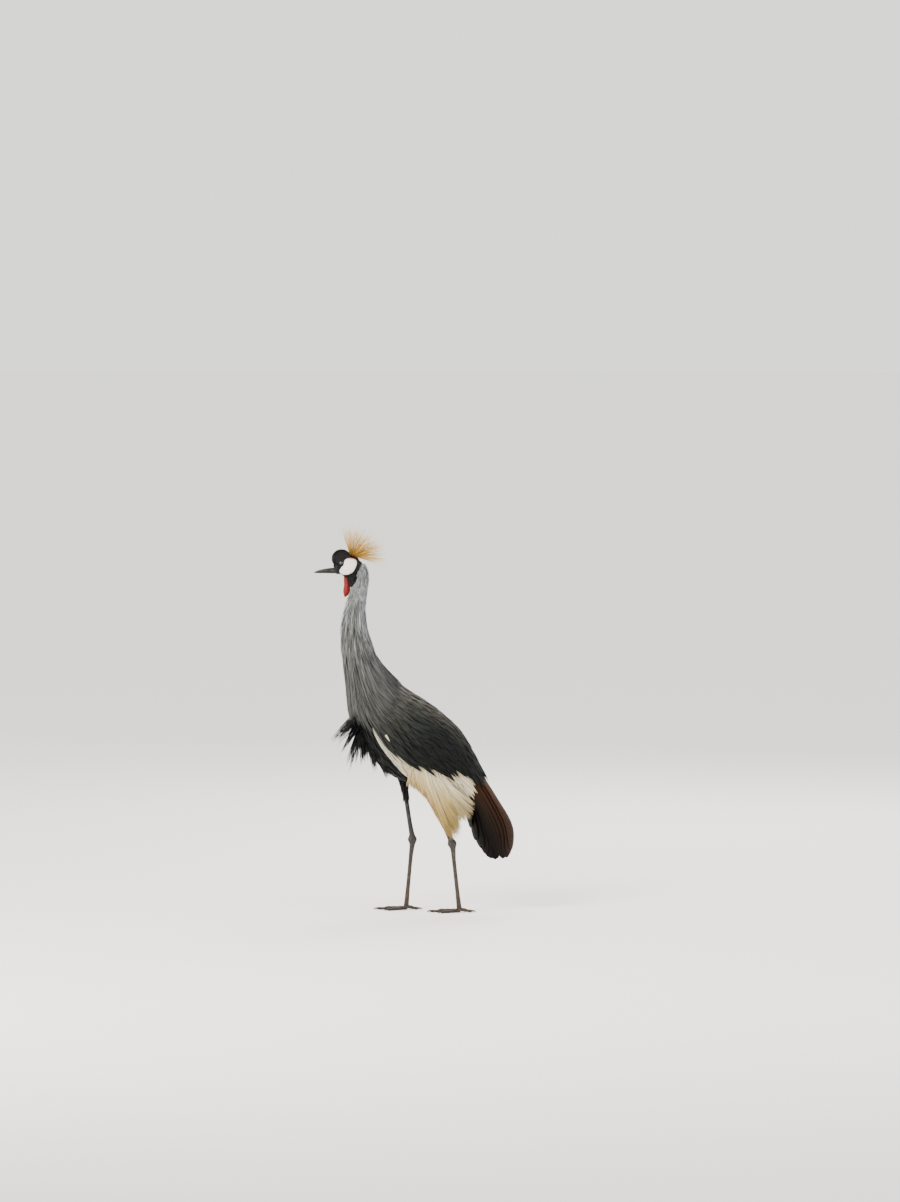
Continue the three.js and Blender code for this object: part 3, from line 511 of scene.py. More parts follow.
# A coat piece. vanes: rings and vane map. Of the kind's settings, coat is name, kind of feather, slot and
# replaced nodes, and fade is the shade at root and tip and the unevenness from vane to vane.
def addCoat(kind, vanes, roots, base=None, darken=1.0):
    rings, vane = vanes
    name, feather, slot, nodes = kind["coat"]
    outline, section, _ = kind["form"]
    rootShade, tipShade, unevenness = kind["fade"]
    base = shade(kind["colour"]) if base is None else base
    along = np.interp(spots(outline), [0, 0.45, 1], [rootShade, 1, tipShade])[None, :, None, None]
    single = np.clip(1 + rng.normal(0, unevenness, (len(rings), 1, 1, 1)), 0.6, 1.5)
    tint = base.reshape(-1, 1, 1, 3) * along * single * darken
    material = bpy.data.materials.get(feather) or featherMaterial(feather)
    dress(ringMesh(name, rings, tint, roots, vane, section == "vane"), material, nodes)


# Short feathers all over a surface. Sizes and lifts come with their unevenness; turns: most drift and roll.
def shortVanes(surface, roots, kind, length=None):
    s, angle = roots.T
    count = len(s)
    low, (mid, midVary), (top, topVary) = kind["lifts"]
    length = sized(s, *kind["length"]) if length is None else length
    width = sized(s, *kind["width"])
    lifts = (low, mid + vary(midVary, count), top + vary(topVary, count))
    drift, roll = (vary(most, count) for most in kind["turns"])
    return layVanes(surface, s, angle, length, width, lifts, kind["form"], drift, 0, roll)


def bothWings(name):
    return [f"wing_left_{name}", f"wing_right_{name}"]


# Where the slate mantle ends over the white wing, and where the wing ends over the belly.
mantleEnds = (
    [2.4, 2.85, 3.15, 3.35, 3.5, 4, 5, 6, 6.5, 7, 7.7, 8.2],
    [46, 68, 79, 92, 106, 117, 121, 120, 113, 99, 72, 55],
)
wingEnds = ([3, 4, 4.5, 5, 5.4, 5.8, 6.1, 6.5, 6.9], [148, 154, 151, 141, 137, 133, 128, 118, 104])


def mantleEdge(s):
    return np.interp(s, *mantleEnds)


def wingEdge(s):
    return np.interp(s, *wingEnds)


# Head: from the nape to the face.
headPlaces = [(-148, 990), (-156, 989), (-168, 989), (-184, 989), (-200, 987), (-212, 983), (-221, 977), (-226, 975)]
headSizes = [
    (10, 10, 8), (22, 24, 15), (29, 31, 19.5), (31, 33, 21.5), (29, 30, 20), (22, 21, 16), (13, 12, 10), (7, 7, 6)
]
head = surfaceOf(headPlaces, headSizes)
eyePlace = np.array([-205.5, -13.6, 999.0])
eyeRadius = 6.2
eyeClear = 6.9  # no feather stands nearer to the middle of the eye
cushionBall = {"centre": (-205, 0, 1010.5), "radii": (26, 17, 24.5)}
throatBall = {"centre": (-171, 0, 953), "radii": (14.5, 16.5, 22.5)}
legSpread = 39
legPlaces = [
    {"name": "left", "side": -1, "hip": (-6, 496), "knee": (12, 427), "ankle": (111, 197), "foot": (132, 0)},
    {"name": "right", "side": 1, "hip": (-38, 510), "knee": (-40, 449), "ankle": (-3, 202), "foot": (-21, 0)},
]
thighLength = 112


def legPoint(leg, part, out=1.0):
    x, z = leg[part]
    return np.array([x, leg["side"] * legSpread * out, z], float)


def thighOf(leg):
    hip, knee, ankle = legPoint(leg, "hip", 0.85), legPoint(leg, "knee"), legPoint(leg, "ankle")
    shin = unit(ankle - knee)
    edge = knee + shin * thighLength
    places = [hip, knee, (knee + edge) / 2, edge, edge + shin * 40]
    return surfaceOf(places, [(34, 34, 20), (27, 27, 17), (16.5, 16.5, 13), (9, 9, 8.6), (8, 8, 7.6)])


# Skin: one closed surface under the plumage, from the rump to the face and down to the shins.
skinForm = {
    "voxel": 2.7,
    "smoothing": 6,
    "underMantle": 10,
    "underWing": 18,
    "underHead": 1.3,
    "underThigh": 2,
    "underCushion": 1.8,
    "replaces": ["torso", "neck_upper", "neck_lower", "head", "leg_left_thigh", "leg_right_thigh"],
}
skinColours = {"underCoverts": "#a8a08c", "belly": "#161719", "neck": "#595d60", "head": "#101011", "thigh": "#18191b"}


def skinDepth(s, angle):
    past = np.abs(angle) - mantleEdge(s)
    depth = np.interp(past, [-12, 4], [skinForm["underMantle"], skinForm["underWing"]])
    return depth + np.interp(s, [3, 3.8], [14, 0])


def allRound(around):
    return np.linspace(-180, 180, around, endpoint=False)[None]


def bodyRings():
    s, angle = np.linspace(2.64, 14.98, 150)[:, None], allRound(72)
    inner, _ = onSurface(flesh, s, angle, -1.5)
    outer, _ = onSurface(cloak, s, angle, -skinDepth(s, angle))
    share = smoothstep(2.75, 3.05, s) * (1 - smoothstep(7.4, 8.8, s)) * smoothstep(150, 132, np.abs(angle))
    return inner + (outer - inner) * share[..., None]


def ballRings(centre, radii):
    lat, lon = np.radians(np.linspace(-89, 89, 18))[:, None], np.radians(np.linspace(0, 360, 24, endpoint=False))[None]
    places = np.stack([np.cos(lat) * np.cos(lon), np.cos(lat) * np.sin(lon), np.sin(lat) + 0 * lon], -1)
    return np.array(centre) + places * np.array(radii)


def surfaceRings(surface, first, last, rows, around=32, lift=0.0):
    return onSurface(surface, np.linspace(first, last, rows)[:, None], allRound(around), lift)[0]


def makeSkin():
    parts = [bodyRings(), surfaceRings(head, 0.05, 6.6, 50, lift=-skinForm["underHead"]), ballRings(**throatBall)]
    parts.append(ballRings(cushionBall["centre"], np.array(cushionBall["radii"]) - skinForm["underCushion"]))
    parts += [surfaceRings(thighOf(leg), 0, 3.15, 40, lift=-skinForm["underThigh"]) for leg in legPlaces]
    shape = bmesh.new()
    for part in parts:
        piece = ringMesh("part", part[None], shade("#808080"))
        shape.from_mesh(piece.data)
        bpy.data.objects.remove(piece)
    bmesh.ops.recalc_face_normals(shape, faces=shape.faces)
    whole = placed("skinParts", meshOf(shape, "skinParts"))
    remesh = whole.modifiers.new("join", "REMESH")
    remesh.mode, remesh.voxel_size = "VOXEL", skinForm["voxel"] * mm
    smooth = whole.modifiers.new("smooth", "SMOOTH")
    smooth.iterations, smooth.factor = skinForm["smoothing"], 0.5
    made = bpy.data.meshes.new_from_object(whole.evaluated_get(bpy.context.evaluated_depsgraph_get()))
    bpy.data.objects.remove(whole)
    made.name = "skin"
    for layer in list(made.color_attributes):
        made.color_attributes.remove(layer)
    paint(made, skinTint(placesOf(made)))
    return placed("skin", made)


# The skin's colour follows the plumage over it, by the nearest station and the angle round it.
def skinTint(places):
    steps = np.linspace(0, 15, 301)
    middle, along = smoothCurve(cloak["line"], steps)
    x, z = places[:, 0], places[:, 2]
    nearest = np.empty(len(places), int)
    for start in range(0, len(places), 20000):
        some = slice(start, start + 20000)
        apart = places[some, None, ::2] - middle[None, :, ::2]
        nearest[some] = (apart**2).sum(-1).argmin(1)
    s = steps[nearest]
    up = unit(np.cross(unit(along[nearest]), (0, -1, 0)))
    angle = np.degrees(np.arctan2(np.abs(places[:, 1]), ((places - middle[nearest]) * up).sum(-1)))
    colour = mantleColour(s, angle) * 0.6
    regions = {
        "underCoverts": (angle > mantleEdge(s) - 6) & (s > 3.1) & (s < 6.9),
        "belly": (angle > wingEdge(s)) & (s < 8.2),
        "neck": s > 7.6,
        "head": (z > 930) & (x < -148 - (1012 - z) * 0.14),
        "thigh": (z < 430) & (angle > 120) | (z < 345) & (s > 2.9),
    }
    for name, inside in regions.items():
        colour[inside] = shade(skinColours[name]) * (0.7 if name == "underCoverts" else 1)
    return colour


# Skin with down on it: dull and soft at its edges, with a fine mottle. It is seen only between feathers.
def skinMaterial():
    material, tree, shader = newMaterial("downySkin", Roughness=0.9, Sheen_Weight=0.2)
    down = noise(tree, ownPlace(tree), 260.0, Detail=4.0)
    colour = multiplied(tree, ownTint(tree), ranged(tree, down, toLow=0.75, toHigh=1.15))
    surfaced(tree, shader, colour, down, 0.4, 0.001)
    return material


# Mantle: slate feathers over the back and shoulders, grey at the neck, nearly black behind. Those over the
# white wing are longer and pointed.
mantle = {
    "coat": ("mantleFeathers", "slateContourFeathers", "slate_feathers", ["mantle"]),
    "rows": (8.0, 3.3, 12.5, 9.5, 0.25), "length": 86, "width": 17, "form": ("lance", "keel", 0.9),
    "fade": (0.55, 1.2, 0.12), "back": 0.75, "ridge": "#5a4f40",
}


def mantleColour(s, angle):
    across = np.abs(angle)
    greys = "#131516 #161919 #1e2222 #313432 #41433f #4d4e4b #565753"
    colour = ramp(s, [2.5, 3.6, 4.8, 5.6, 6.3, 7.0, 7.8], greys)
    lower = smoothstep(60, 105, across)[..., None] * smoothstep(7.4, 6.2, s)[..., None]
    ridge = (1 - smoothstep(0, 60, across)) * smoothstep(3, 5.5, s) * smoothstep(7.6, 6.2, s)
    return colour * (1 - 0.35 * lower) + shade(mantle["ridge"]) * 0.55 * ridge[..., None]


def makeMantle():
    def edges(s):
        reach = float(mantleEdge(s - mantle["back"])) - 2
        return -reach, reach

    roots = rootRows(cloak, mantle["rows"], edges)
    s, angle = roots.T
    count = len(s)
    long = 0.2 * smoothstep(0.75, 1, np.abs(angle) / mantleEdge(s - mantle["back"]))
    length = mantle["length"] * (1 + long + vary(0.14, count))
    width = mantle["width"] * (1 - long + vary(0.12, count))
    rear = smoothstep(4.4, 3.5, s) * smoothstep(80, 40, np.abs(angle))
    lifts = (-7 + vary(0.4, count), -1.2 - 2 * rear + vary(0.5, count), 1.4 - 5 * rear + vary(0.9, count))
    drift, curl, roll = vary(4, count) + np.sign(angle) * 1.5, vary(4, count), vary(9, count)
    vanes = layVanes(cloak, s, angle, length, width, lifts, mantle["form"], drift, curl, roll)
    addCoat(mantle, vanes, roots, mantleColour(np.maximum(s - 0.5, 2.5), angle))


# Coverts: cream-white feathers of the folded wing, seen below the mantle. One small feather has slipped out
# over the slate ones.
coverts = {
    "coat": ("wingCoverts", "creamContourFeathers", "white_feathers", bothWings("coverts")),
    "rows": (6.8, 3.05, 10.5, 7, 0.25), "length": 60, "width": 11.5, "form": ("lance", "keel", 0.8),
    "fade": (0.75, 1.05, 0.05), "stray": (6.04, 110), "strayLength": 34,
}


def makeCoverts():
    def edges(s):
        return max(60, float(mantleEdge(s)) - 22), float(wingEdge(s - 0.2)) - 3 - 26 * float(smoothstep(3.3, 3.05, s))

    roots = np.vstack([bothSides(rootRows(cloak, coverts["rows"], edges)), coverts["stray"]])
    s, angle = roots.T
    count = len(s)
    stray = np.arange(count) == count - 1
    length = coverts["length"] * (1 + vary(0.12, count)) * np.interp(s, [3.3, 4.5, 6.9], [1.25, 1.0, 0.9])
    raised = 7 * smoothstep(-22, -6, np.abs(angle) - wingEdge(s)) * smoothstep(3.2, 4, s)  # over the belly feathers
    length = np.where(stray, coverts["strayLength"], length)
    width = coverts["width"] * (1 + vary(0.1, count)) * (1 - 0.35 * stray)
    lifts = (
        -16 + vary(0.4, count) + 8 * stray,
        -11.5 + 0.6 * raised + vary(0.5, count) + 14 * stray,
        -9 + raised + vary(0.8, count) + 16 * stray,
    )
    drift, curl, roll = vary(3, count) + np.sign(angle) * 2, vary(3, count), vary(6, count)
    vanes = layVanes(cloak, s, angle, length, width, lifts, coverts["form"], drift, curl, roll)
    addCoat(coverts, vanes, roots, ramp(s, [3.2, 4.6, 5.6, 6.8], "#d4cbb4 #cbbfa4 #c6beaa #bbb8ac"))


# Straw plumes: long loose strands in locks that hang from the rear of the wing over the thigh. Each lock
# is told by the place of its tip in side view.
strawPlumes = {
    "locks": 110,
    "perLock": 18,
    "tips": [
        (-18, 364), (-2, 358), (16, 348), (34, 331), (54, 304), (72, 272), (88, 240), (101, 218), (113, 209),
        (125, 212), (133, 228), (139, 250), (148, 264), (159, 262), (168, 276), (174, 296), (178, 318),
    ],
    "width": 3.6,
    "form": ("plume", "three", 0.8),
    "tipSide": 60,
}


def makeStrawPlumes():
    locks = strawPlumes["locks"]
    lock = np.repeat(np.arange(locks), strawPlumes["perLock"])
    count = len(lock)
    tips = np.array(strawPlumes["tips"], float)
    parts = []
    for side in (1, -1):
        lockShare = (np.arange(locks) + 0.5) / locks + vary(0.006, locks)
        lockLayer = rng.uniform(0, 1, locks)
        lockReach = 1 - 0.4 * rng.uniform(0, 1, locks) ** 3
        share = np.clip(lockShare[lock] + vary(0.012, count), 0, 1)
        layer = np.clip(lockLayer[lock] + vary(0.16, count), 0, 1)
        x, z = (np.interp(share * (len(tips) - 1), np.arange(len(tips)), tips[:, i]) for i in (0, 1))
        station, angle = 4.75 - 1.1 * share + vary(0.1, count), 124 - 14 * share + vary(9, count)
        root, _ = onSurface(cloak, station, angle, -17 + 5 * layer)
        bend, _ = onSurface(cloak, 4.4 - 1.0 * share, 138 - 12 * share + vary(3, count), -9 + 7 * layer)
        tip = np.stack([x, -strawPlumes["tipSide"] - 12 * layer - 4 * share, z], 1)
        full = lockReach[lock] * (1 - 0.15 * rng.uniform(0, 1, count) ** 2)
        tip = bend + (tip - bend) * full[:, None]
        tip = tip + np.stack([vary(5, count), vary(2.5, count), vary(4, count)], 1)
        path = bowed(root, bend, tip) * [1, side, 1]
        width, out = strawPlumes["width"] * (1 + vary(0.4, count)), np.array([0.15, -side, 0.0])
        rings, vane = bladesAlong(path, out, width, strawPlumes["form"], vary(30, count))
        base = ramp(share, [0, 0.35, 0.7, 1], "#c5b182 #bca062 #c2aa6e #d2c6a7")[:, None, None]
        white = ramp(share, [0, 1], "#cec2a3 #d9d0ba")[:, None, None]
        fade = smoothstep(0.25, 0.9, spots("plume"))[None, :, None, None]
        # each plume has a tone of its own, and the plumes of the inner layers are darker: painted shade under the
        # outer ones
        single = rng.normal(1, 0.06, count) * (0.86 + 0.16 * layer)
        tint = (white * (1 - fade) + base * fade) * single[:, None, None, None]
        parts.append((rings, tint, np.stack([share + (side < 0) * 1.05, layer], 1), vane))
    piece = ringMesh("strawPlumes", *(np.vstack(part) for part in zip(*parts)))
    dress(piece, featherMaterial("strawPlumes"), bothWings("plumes"))


# Flight feathers: chestnut tertials over black primaries, folded into one long bundle on each side. They
# are counted from the innermost, share 0, to the outermost, share 1. station: of the first root, change to
# the last, unevenness; angle and drift: of the first and change to the last; stretch: mm for one station.
tertials = {
    "coat": ("tertials", "chestnutFlightFeathers", "chestnut_feathers", bothWings("tertials")),
    "count": 8, "station": (3.75, -0.25, 0.05), "angle": (32, 68), "drift": (-7, 2), "tipVary": 0.05,
    "stretch": 93, "width": (42, 2), "form": ("quill", "vane", 1.2), "fade": (1, 1, 0.12),
}
primaries = {
    "coat": ("primaries", "blackFlightFeathers", "black_feathers", bothWings("primaries")),
    "count": 9, "station": (3.5, -0.1, 0.04), "angle": (106, 44), "drift": (-10, 26), "tipVary": 0.03,
    "stretch": 90, "width": (36, 1.5), "form": ("quill", "vane", 1.3), "fade": (0.9, 1, 0.1), "colour": "#161211",
}


def foldedBundle(kind, tipOf, liftsOf):
    count = kind["count"]
    side = np.repeat([1, -1], count)
    share = np.tile(np.arange(count), 2) / (count - 1)
    count = len(side)
    (first, change, spread), (inner, wider), (drift, more) = kind["station"], kind["angle"], kind["drift"]
    s = first + change * share + vary(spread, count)
    angle = (inner + wider * share + vary(1.5, count)) * side
    tipStation = tipOf(share) + vary(kind["tipVary"], count)
    length, width = (s - tipStation) * kind["stretch"], kind["width"][0] + vary(kind["width"][1], count)
    drift, curl, roll = (drift + more * share) * side, vary(2, count), -7 * side
    lifts = liftsOf(share, side)
    vanes = layVanes(cloak, s, angle, length, width, lifts, kind["form"], drift, curl, roll, ragged=0)
    return share, vanes, np.stack([s, angle], 1)


def makeTertials():
    def lifts(share, side):
        under = 1.6 * (side < 0)  # one folded wing lies over the other
        return -22 - 4 * share, 7 - 14 * share - under, 1 - 6 * share - under

    def tips(share):
        return 0.3 * share**1.6 + 0.4 * (1 - share) ** 5

    share, vanes, roots = foldedBundle(tertials, tips, lifts)
    base = ramp(share, [0, 0.5, 1], "#4a2c18 #352216 #1c140f")
    darken = np.interp(spots("quill"), [0, 0.3, 0.6, 0.85, 1], [0.9, 1, 0.5, 0.28, 0.24])
    darken = darken ** (0.55 + 0.45 * smoothstep(0, 0.3, share))[:, None]  # the innermost keep their colour longest
    addCoat(tertials, vanes, roots, base, darken[..., None, None])


def makePrimaries():
    def lifts(share, side):
        return -25 - 3 * share, -22 + 32 * share**1.4, -6 + 17 * share

    _, vanes, roots = foldedBundle(primaries, lambda share: 0.02 + 1.25 * share**3.5, lifts)
    addCoat(primaries, vanes, roots)


# Tail: black, between the folded wings.
tail = {
    "coat": ("tailFeathers", "blackTailFeathers", "black_feathers", ["tail"]),
    "count": 12, "width": 22, "form": ("quill", "vane", 1.3), "fade": (0.9, 1, 0.08), "colour": "#171516",
    "from": 2.62, "to": 0.72, "rootSide": 9, "tipSide": 16, "droop": 5,
}


def makeTail():
    count = tail["count"]
    place = np.linspace(-1, 1, count)
    top, end = smoothCurve(flesh["line"], np.array([tail["from"], tail["to"]]))[0]
    drop = tail["droop"] * np.abs(place)
    start = top + np.stack([0 * place, tail["rootSide"] * place, 4 - drop], 1)
    tip = end + np.stack([0 * place, tail["tipSide"] * place, 6 - drop], 1)
    path = start[:, None] + (tip - start)[:, None] * spots("quill")[None, :, None]
    width, out = tail["width"] + vary(1, count), np.array([0.9, 0, 0.4])
    vanes = bladesAlong(path, out, width, tail["form"], place * 8)
    addCoat(tail, vanes, np.stack([place, np.arange(count) % 2], 1))


# Neck: short flat feathers above, then long lance-shaped plumes that hang over the breast and shoulders.
neck = {
    "coat": ("neckPlumes", "greyNeckPlumes", "grey_plumes", ["neck_lower"]),
    "rows": (13.4, 8.45, 5.0, 3.5, 0.4),
    "width": 4.6,
    "form": ("plume", "keel", 0.6),
    "fade": (0.42, 1.2, 0.06),
    "lock": (0.55, 16),
    "hem": ([0, 40, 75, 100, 122, 138, 180], [7.3, 7.05, 6.5, 6.12, 6.25, 6.9, 7.05]),
    "lengths": ([8.4, 9.2, 10.5, 12, 13.1], [3.4, 2.4, 1.75, 0.95, 0.5]),
    "darkening": ([6.6, 7.4, 8.2, 9, 9.6, 10.2, 11, 12.5], [0.26, 0.28, 0.33, 0.4, 0.5, 0.68, 0.82, 0.95]),
    "streaks": ([0.42, 0.72, 1.0, 1.2, 1.6], [0.16, 0.2, 0.28, 0.22, 0.14]),
}
neckFeathers = {
    "coat": ("neckFeathers", "greyNeckFeathers", "grey_plumes", ["neck_upper"]),
    "rows": (14.95, 11.6, 3.6, 2.7, 0.4),
    "length": (([11, 13, 14.9], [24, 15, 8]), 0.2),
    "width": (([11, 13, 14.9], [4.2, 3.2, 2.5]), 0.2),
    "lifts": (-1.5, (0.6, 0.3), (1.5, 0.8)),
    "form": ("spike", "three", 0.5),
    "fade": (0.6, 1.15, 0.05),
    "turns": (6, 14),
}


def offBack(angle):
    return np.abs((angle + 180) % 360 - 180)


def neckPath(s, angle, tip, turn, rise):
    k = spots("plume")
    s, tip = s[:, None], tip[:, None]
    station = s + (tip - s) * k
    theta = angle[:, None] + turn[:, None] * k
    share = np.clip((s - station) / np.clip(s - 7.85, 0.4, 0.95), 0, 1)
    share = share * (2 - share)
    low, _ = onSurface(flesh, station, theta, -2)
    back = smoothstep(80, 35, offBack(angle))[:, None]
    high, out = onSurface(ruff, station, theta, -5 + 9 * k + rise[:, None] - 11 * back * k**2)
    return low + (high - low) * share[..., None], out, station


def neckColour(s, count):
    streak, odds = neck["streaks"]
    return ramp(s, [8, 10, 12, 14.5], "#898a87 #919392 #969a9c #8b8f91") * rng.choice(streak, count, p=odds)[:, None]


def makeNeckPlumes():
    roots = rootRows(ruff, neck["rows"], fullTurn)
    s, angle = roots.T
    count = len(s)
    length = sized(s, neck["lengths"], 0.14)
    onBack = smoothstep(75, 35, np.abs(angle))
    hem = np.interp(offBack(angle), *neck["hem"])
    tip = np.maximum(s - length, hem + vary(0.22, count) * (1 + 1.4 * onBack))
    lockAngle, chance = locksOf(s, angle, *neck["lock"])
    gather = smoothstep(12.6, 11.2, s) * (0.35 + 0.3 * smoothstep(9.2, 10.2, s))
    turn = (lockAngle - angle) * gather + 6 * chance * gather + vary(4, count)
    path, out, station = neckPath(s, angle, tip, turn, vary(1.2, count) + 1.6 * chance)
    width = neck["width"] * sized(s, ([8.4, 10.5, 13.1], [1.35, 1, 0.65]), 0.2)
    vanes = bladesAlong(path, out, width, neck["form"], vary(16, count) + 6)
    # each lock has a tone of its own, and the locks that lie lower are darker too: painted shade between the locks
    base = neckColour(s, count) * (0.84 + 0.24 * chance)[:, None]
    darken = np.interp(station, *neck["darkening"])[..., None, None]  # towards the breast and the shoulders
    addCoat(neck, vanes, roots, base, darken)


def makeNeckFeathers():
    roots = rootRows(flesh, neckFeathers["rows"], fullTurn)
    addCoat(neckFeathers, shortVanes(flesh, roots, neckFeathers), roots, neckColour(roots[:, 0], len(roots)))


# Belly: short black feathers from the breast to the rump, below the wings.
belly = {
    "coat": ("bodyFeathers", "blackBodyFeathers", "black_feathers", ()),
    "rows": (8.2, 2.7, 11, 9.5, 0.35),
    "edge": ([2.6, 3, 6, 6.9, 7.6, 8.3], [30, 100, 122, 100, 60, 10]),
    "length": (38, 0.2),
    "width": (13, 0.15),
    "lifts": (-3.5, (1, 0.5), (2.5, 1.2)),
    "form": ("short", "keel", 0.7),
    "fade": (0.7, 1.1, 0.12),
    "colour": "#1d1f21",
    "turns": (5, 12),
}


def makeBelly():
    roots = bothSides(rootRows(flesh, belly["rows"], lambda s: (float(np.interp(s, *belly["edge"])), 180)))
    addCoat(belly, shortVanes(flesh, roots, belly), roots)


# Breast: black lance-shaped plumes in loose bunches that draw together to long points. Each row tells its
# station, the number of bunches, how far round the breast they reach, their length and their lean.
breast = {
    "coat": ("breastPlumes", "blackBreastPlumes", "black_feathers", ()),
    "rows": [
        (6.93, 9, 38, 92, 0.0),
        (6.72, 8, 36, 84, 0.22),
        (6.5, 8, 32, 104, 0.55),
        (6.2, 7, 28, 58, 0.8),
        (5.85, 7, 26, 44, 1.5),
        (5.4, 6, 24, 36, 2.4),
    ],
    "perBunch": 13,
    "width": 3.4,
    "form": ("plume", "keel", 0.8),
    "fade": (0.8, 1.15, 0.12),
    "colour": "#191b1d",
    "droop": 14,
}


def makeBreast():
    rows = np.vstack([
        [(s, spread * share, length, lean) for share in np.linspace(-1, 1, number)]
        for s, number, spread, length, lean in breast["rows"]
    ])
    bunches = len(rows)
    bunchS = rows[:, 0] + vary(0.06, bunches)
    bunchAngle = 180 + rows[:, 1] + vary(4, bunches)
    start, out = onSurface(flesh, bunchS, bunchAngle, -5)
    _, along = smoothCurve(flesh["line"], bunchS)
    lean = (rows[:, 3] + vary(0.14, bunches))[:, None]
    aim = unit(out - unit(along) * lean + rng.normal(0, 0.05, (bunches, 3)))
    end = start + aim * (rows[:, 2] * (1 + vary(0.14, bunches)))[:, None] - np.array([0, 0, breast["droop"]])
    bunch = np.repeat(np.arange(bunches), breast["perBunch"])
    count = len(bunch)
    s = bunchS[bunch] + vary(0.16, count)
    angle = bunchAngle[bunch] + vary(6, count)
    root, _ = onSurface(flesh, s, angle, -5)
    reach = 1 - 0.6 * rng.uniform(0, 1, count) ** 1.3
    tip = root + (end[bunch] - root) * reach[:, None] + rng.normal(0, 1.6, (count, 3))
    bend = (root + tip) / 2 + np.array([0, 0, 5]) + rng.normal(0, 1.5, (count, 3))
    path = bowed(root, bend, tip)
    width = breast["width"] * (1 + vary(0.25, count))
    vanes = bladesAlong(path, (unit(-along) - out)[bunch][:, None], width, breast["form"], vary(40, count))
    addCoat(breast, vanes, np.stack([s, angle], 1))


# Thighs: short black plumes down to where the bare shin begins.
thighs = {
    "coat": ("thighFeathers", "blackThighFeathers", "black_feathers", ()),
    "rows": (3.2, 0.9, 8, 6.5, 0.35),
    "length": (28, 0.2),
    "width": (([1, 3], [6, 10]), 0.15),
    "lifts": (-3, (0.5, 0.5), (2, 1)),
    "form": ("short", "keel", 0.6),
    "fade": (0.7, 1.1, 0.12),
    "colour": "#1f2022",
    "turns": (8, 12),
}


def makeThighs():
    parts = []
    for leg in legPlaces:
        thigh = thighOf(leg)
        flipped = {**thigh, "line": thigh["line"][::-1], "sizes": thigh["sizes"][::-1]}
        roots = rootRows(flipped, thighs["rows"], fullTurn)
        parts.append((*shortVanes(flipped, roots, thighs), roots + [0, 400 * (leg["side"] > 0)]))
    rings, vane, roots = (np.vstack(part) for part in zip(*parts))
    addCoat(thighs, (rings, vane), roots)


makeCamera()
makeLights()
print("camera and light made")
dress(makeSkin(), skinMaterial(), skinForm["replaces"])
print("skin made")
makeMantle()
makeCoverts()
makeStrawPlumes()
makeTertials()
makePrimaries()
makeTail()
makeNeckPlumes()
makeNeckFeathers()
makeBelly()
makeBreast()
makeThighs()
print("plumage made")


# Bare, living skin: fine cells and wrinkles, with painted shade darkening their folds, a little translucent where soft
# is set.
# Without a colour it takes the piece's own tint.
def bareSkin(name, colour, dark, wrinkle, roughness, soft=0.0, bump=0.0006):
    blood = {"Subsurface_Weight": soft, "Subsurface_Radius": (1.0, 0.35, 0.2), "Subsurface_Scale": 0.002}
    material, tree, shader = newMaterial(name, Roughness=roughness, **blood)
    place = ownPlace(tree)
    grain = noise(tree, place, wrinkle, Detail=3.0, Distortion=1.0)
    height = addScaled(tree, cellEdges(tree, place, wrinkle * 0.9, 0.25), 0.6, grain)
    # The low places take the dark colour: the cell lines are the skin's own pattern, and the darker folds are painted
    # shade.
    if colour:
        base = mixed(tree, rgba(dark), rgba(colour), ranged(tree, height, 0.3, 1.0))
    else:
        base = multiplied(tree, ownTint(tree), rgba(dark), ranged(tree, height, 0.3, 1.1, 0.45, 0.0))
    surfaced(tree, shader, base, height, 0.6, bump)
    return material


# Head: a velvet of short black feathers, bare white cheeks, a plush cushion on the forehead.
cheek = {
    "outline": [
        (-196, 1010), (-181, 1014), (-166, 1009), (-161.5, 998), (-166, 984), (-173, 973),
        (-186, 966), (-201, 966.5), (-209.5, 974.5), (-206.5, 985), (-198, 995),
    ],
    "middle": (-183.5, 987.5),
    "rows": 26,
    "around": 72,
    "swell": 1.5,
    "white": "#efebe7",
    "red": "#b23035",
}


def cheekEdge(count):
    points = np.array(cheek["outline"], float)
    looped = np.vstack([points[-2:], points, points[:3]])
    return smoothCurve(looped, 2 + np.linspace(0, len(points), count, endpoint=False))[0]


def onCheek(place):
    x, z = place[:, 0], place[:, 2]
    outline = cheekEdge(60)
    inside = np.zeros(len(place), bool)
    for (ax, az), (bx, bz) in zip(outline, np.roll(outline, -1, 0)):
        with np.errstate(divide="ignore", invalid="ignore"):
            inside ^= ((az > z) != (bz > z)) & (x < (bx - ax) * (z - az) / (bz - az) + ax)
    return inside & (np.abs(place[:, 1]) > 6)


def headStation(x):
    return np.interp(-x, [-p[0] for p in headPlaces], np.arange(len(headPlaces)))


def headSide(x, z):  # how far out the side of the head is at a place in side view
    s = headStation(x)
    middle, _ = smoothCurve(head["line"], s)
    size, _ = smoothCurve(head["sizes"], s)
    rise = z - middle[..., 2]
    share = rise / np.where(rise > 0, size[..., 0], size[..., 1])
    ownSide = size[..., 2] * np.sqrt(np.clip(1 - share**2, 0.01, 1))
    (bx, _, bz), (rx, ry, rz) = cushionBall["centre"], cushionBall["radii"]
    far = ((x - bx) / rx) ** 2 + ((z - bz) / rz) ** 2
    return np.maximum(ownSide, ry * np.sqrt(np.clip(1 - far, 0, 1)))


def cheekTint(places):
    x, z = places[:, 0], places[:, 2]
    red = 0.85 * smoothstep(1009.5, 1012, z + 0.15 * (x + 180) + 0.8 * np.sin(x * 1.1))[:, None]
    return shade(cheek["white"]) * (1 - red) + shade(cheek["red"]) * red


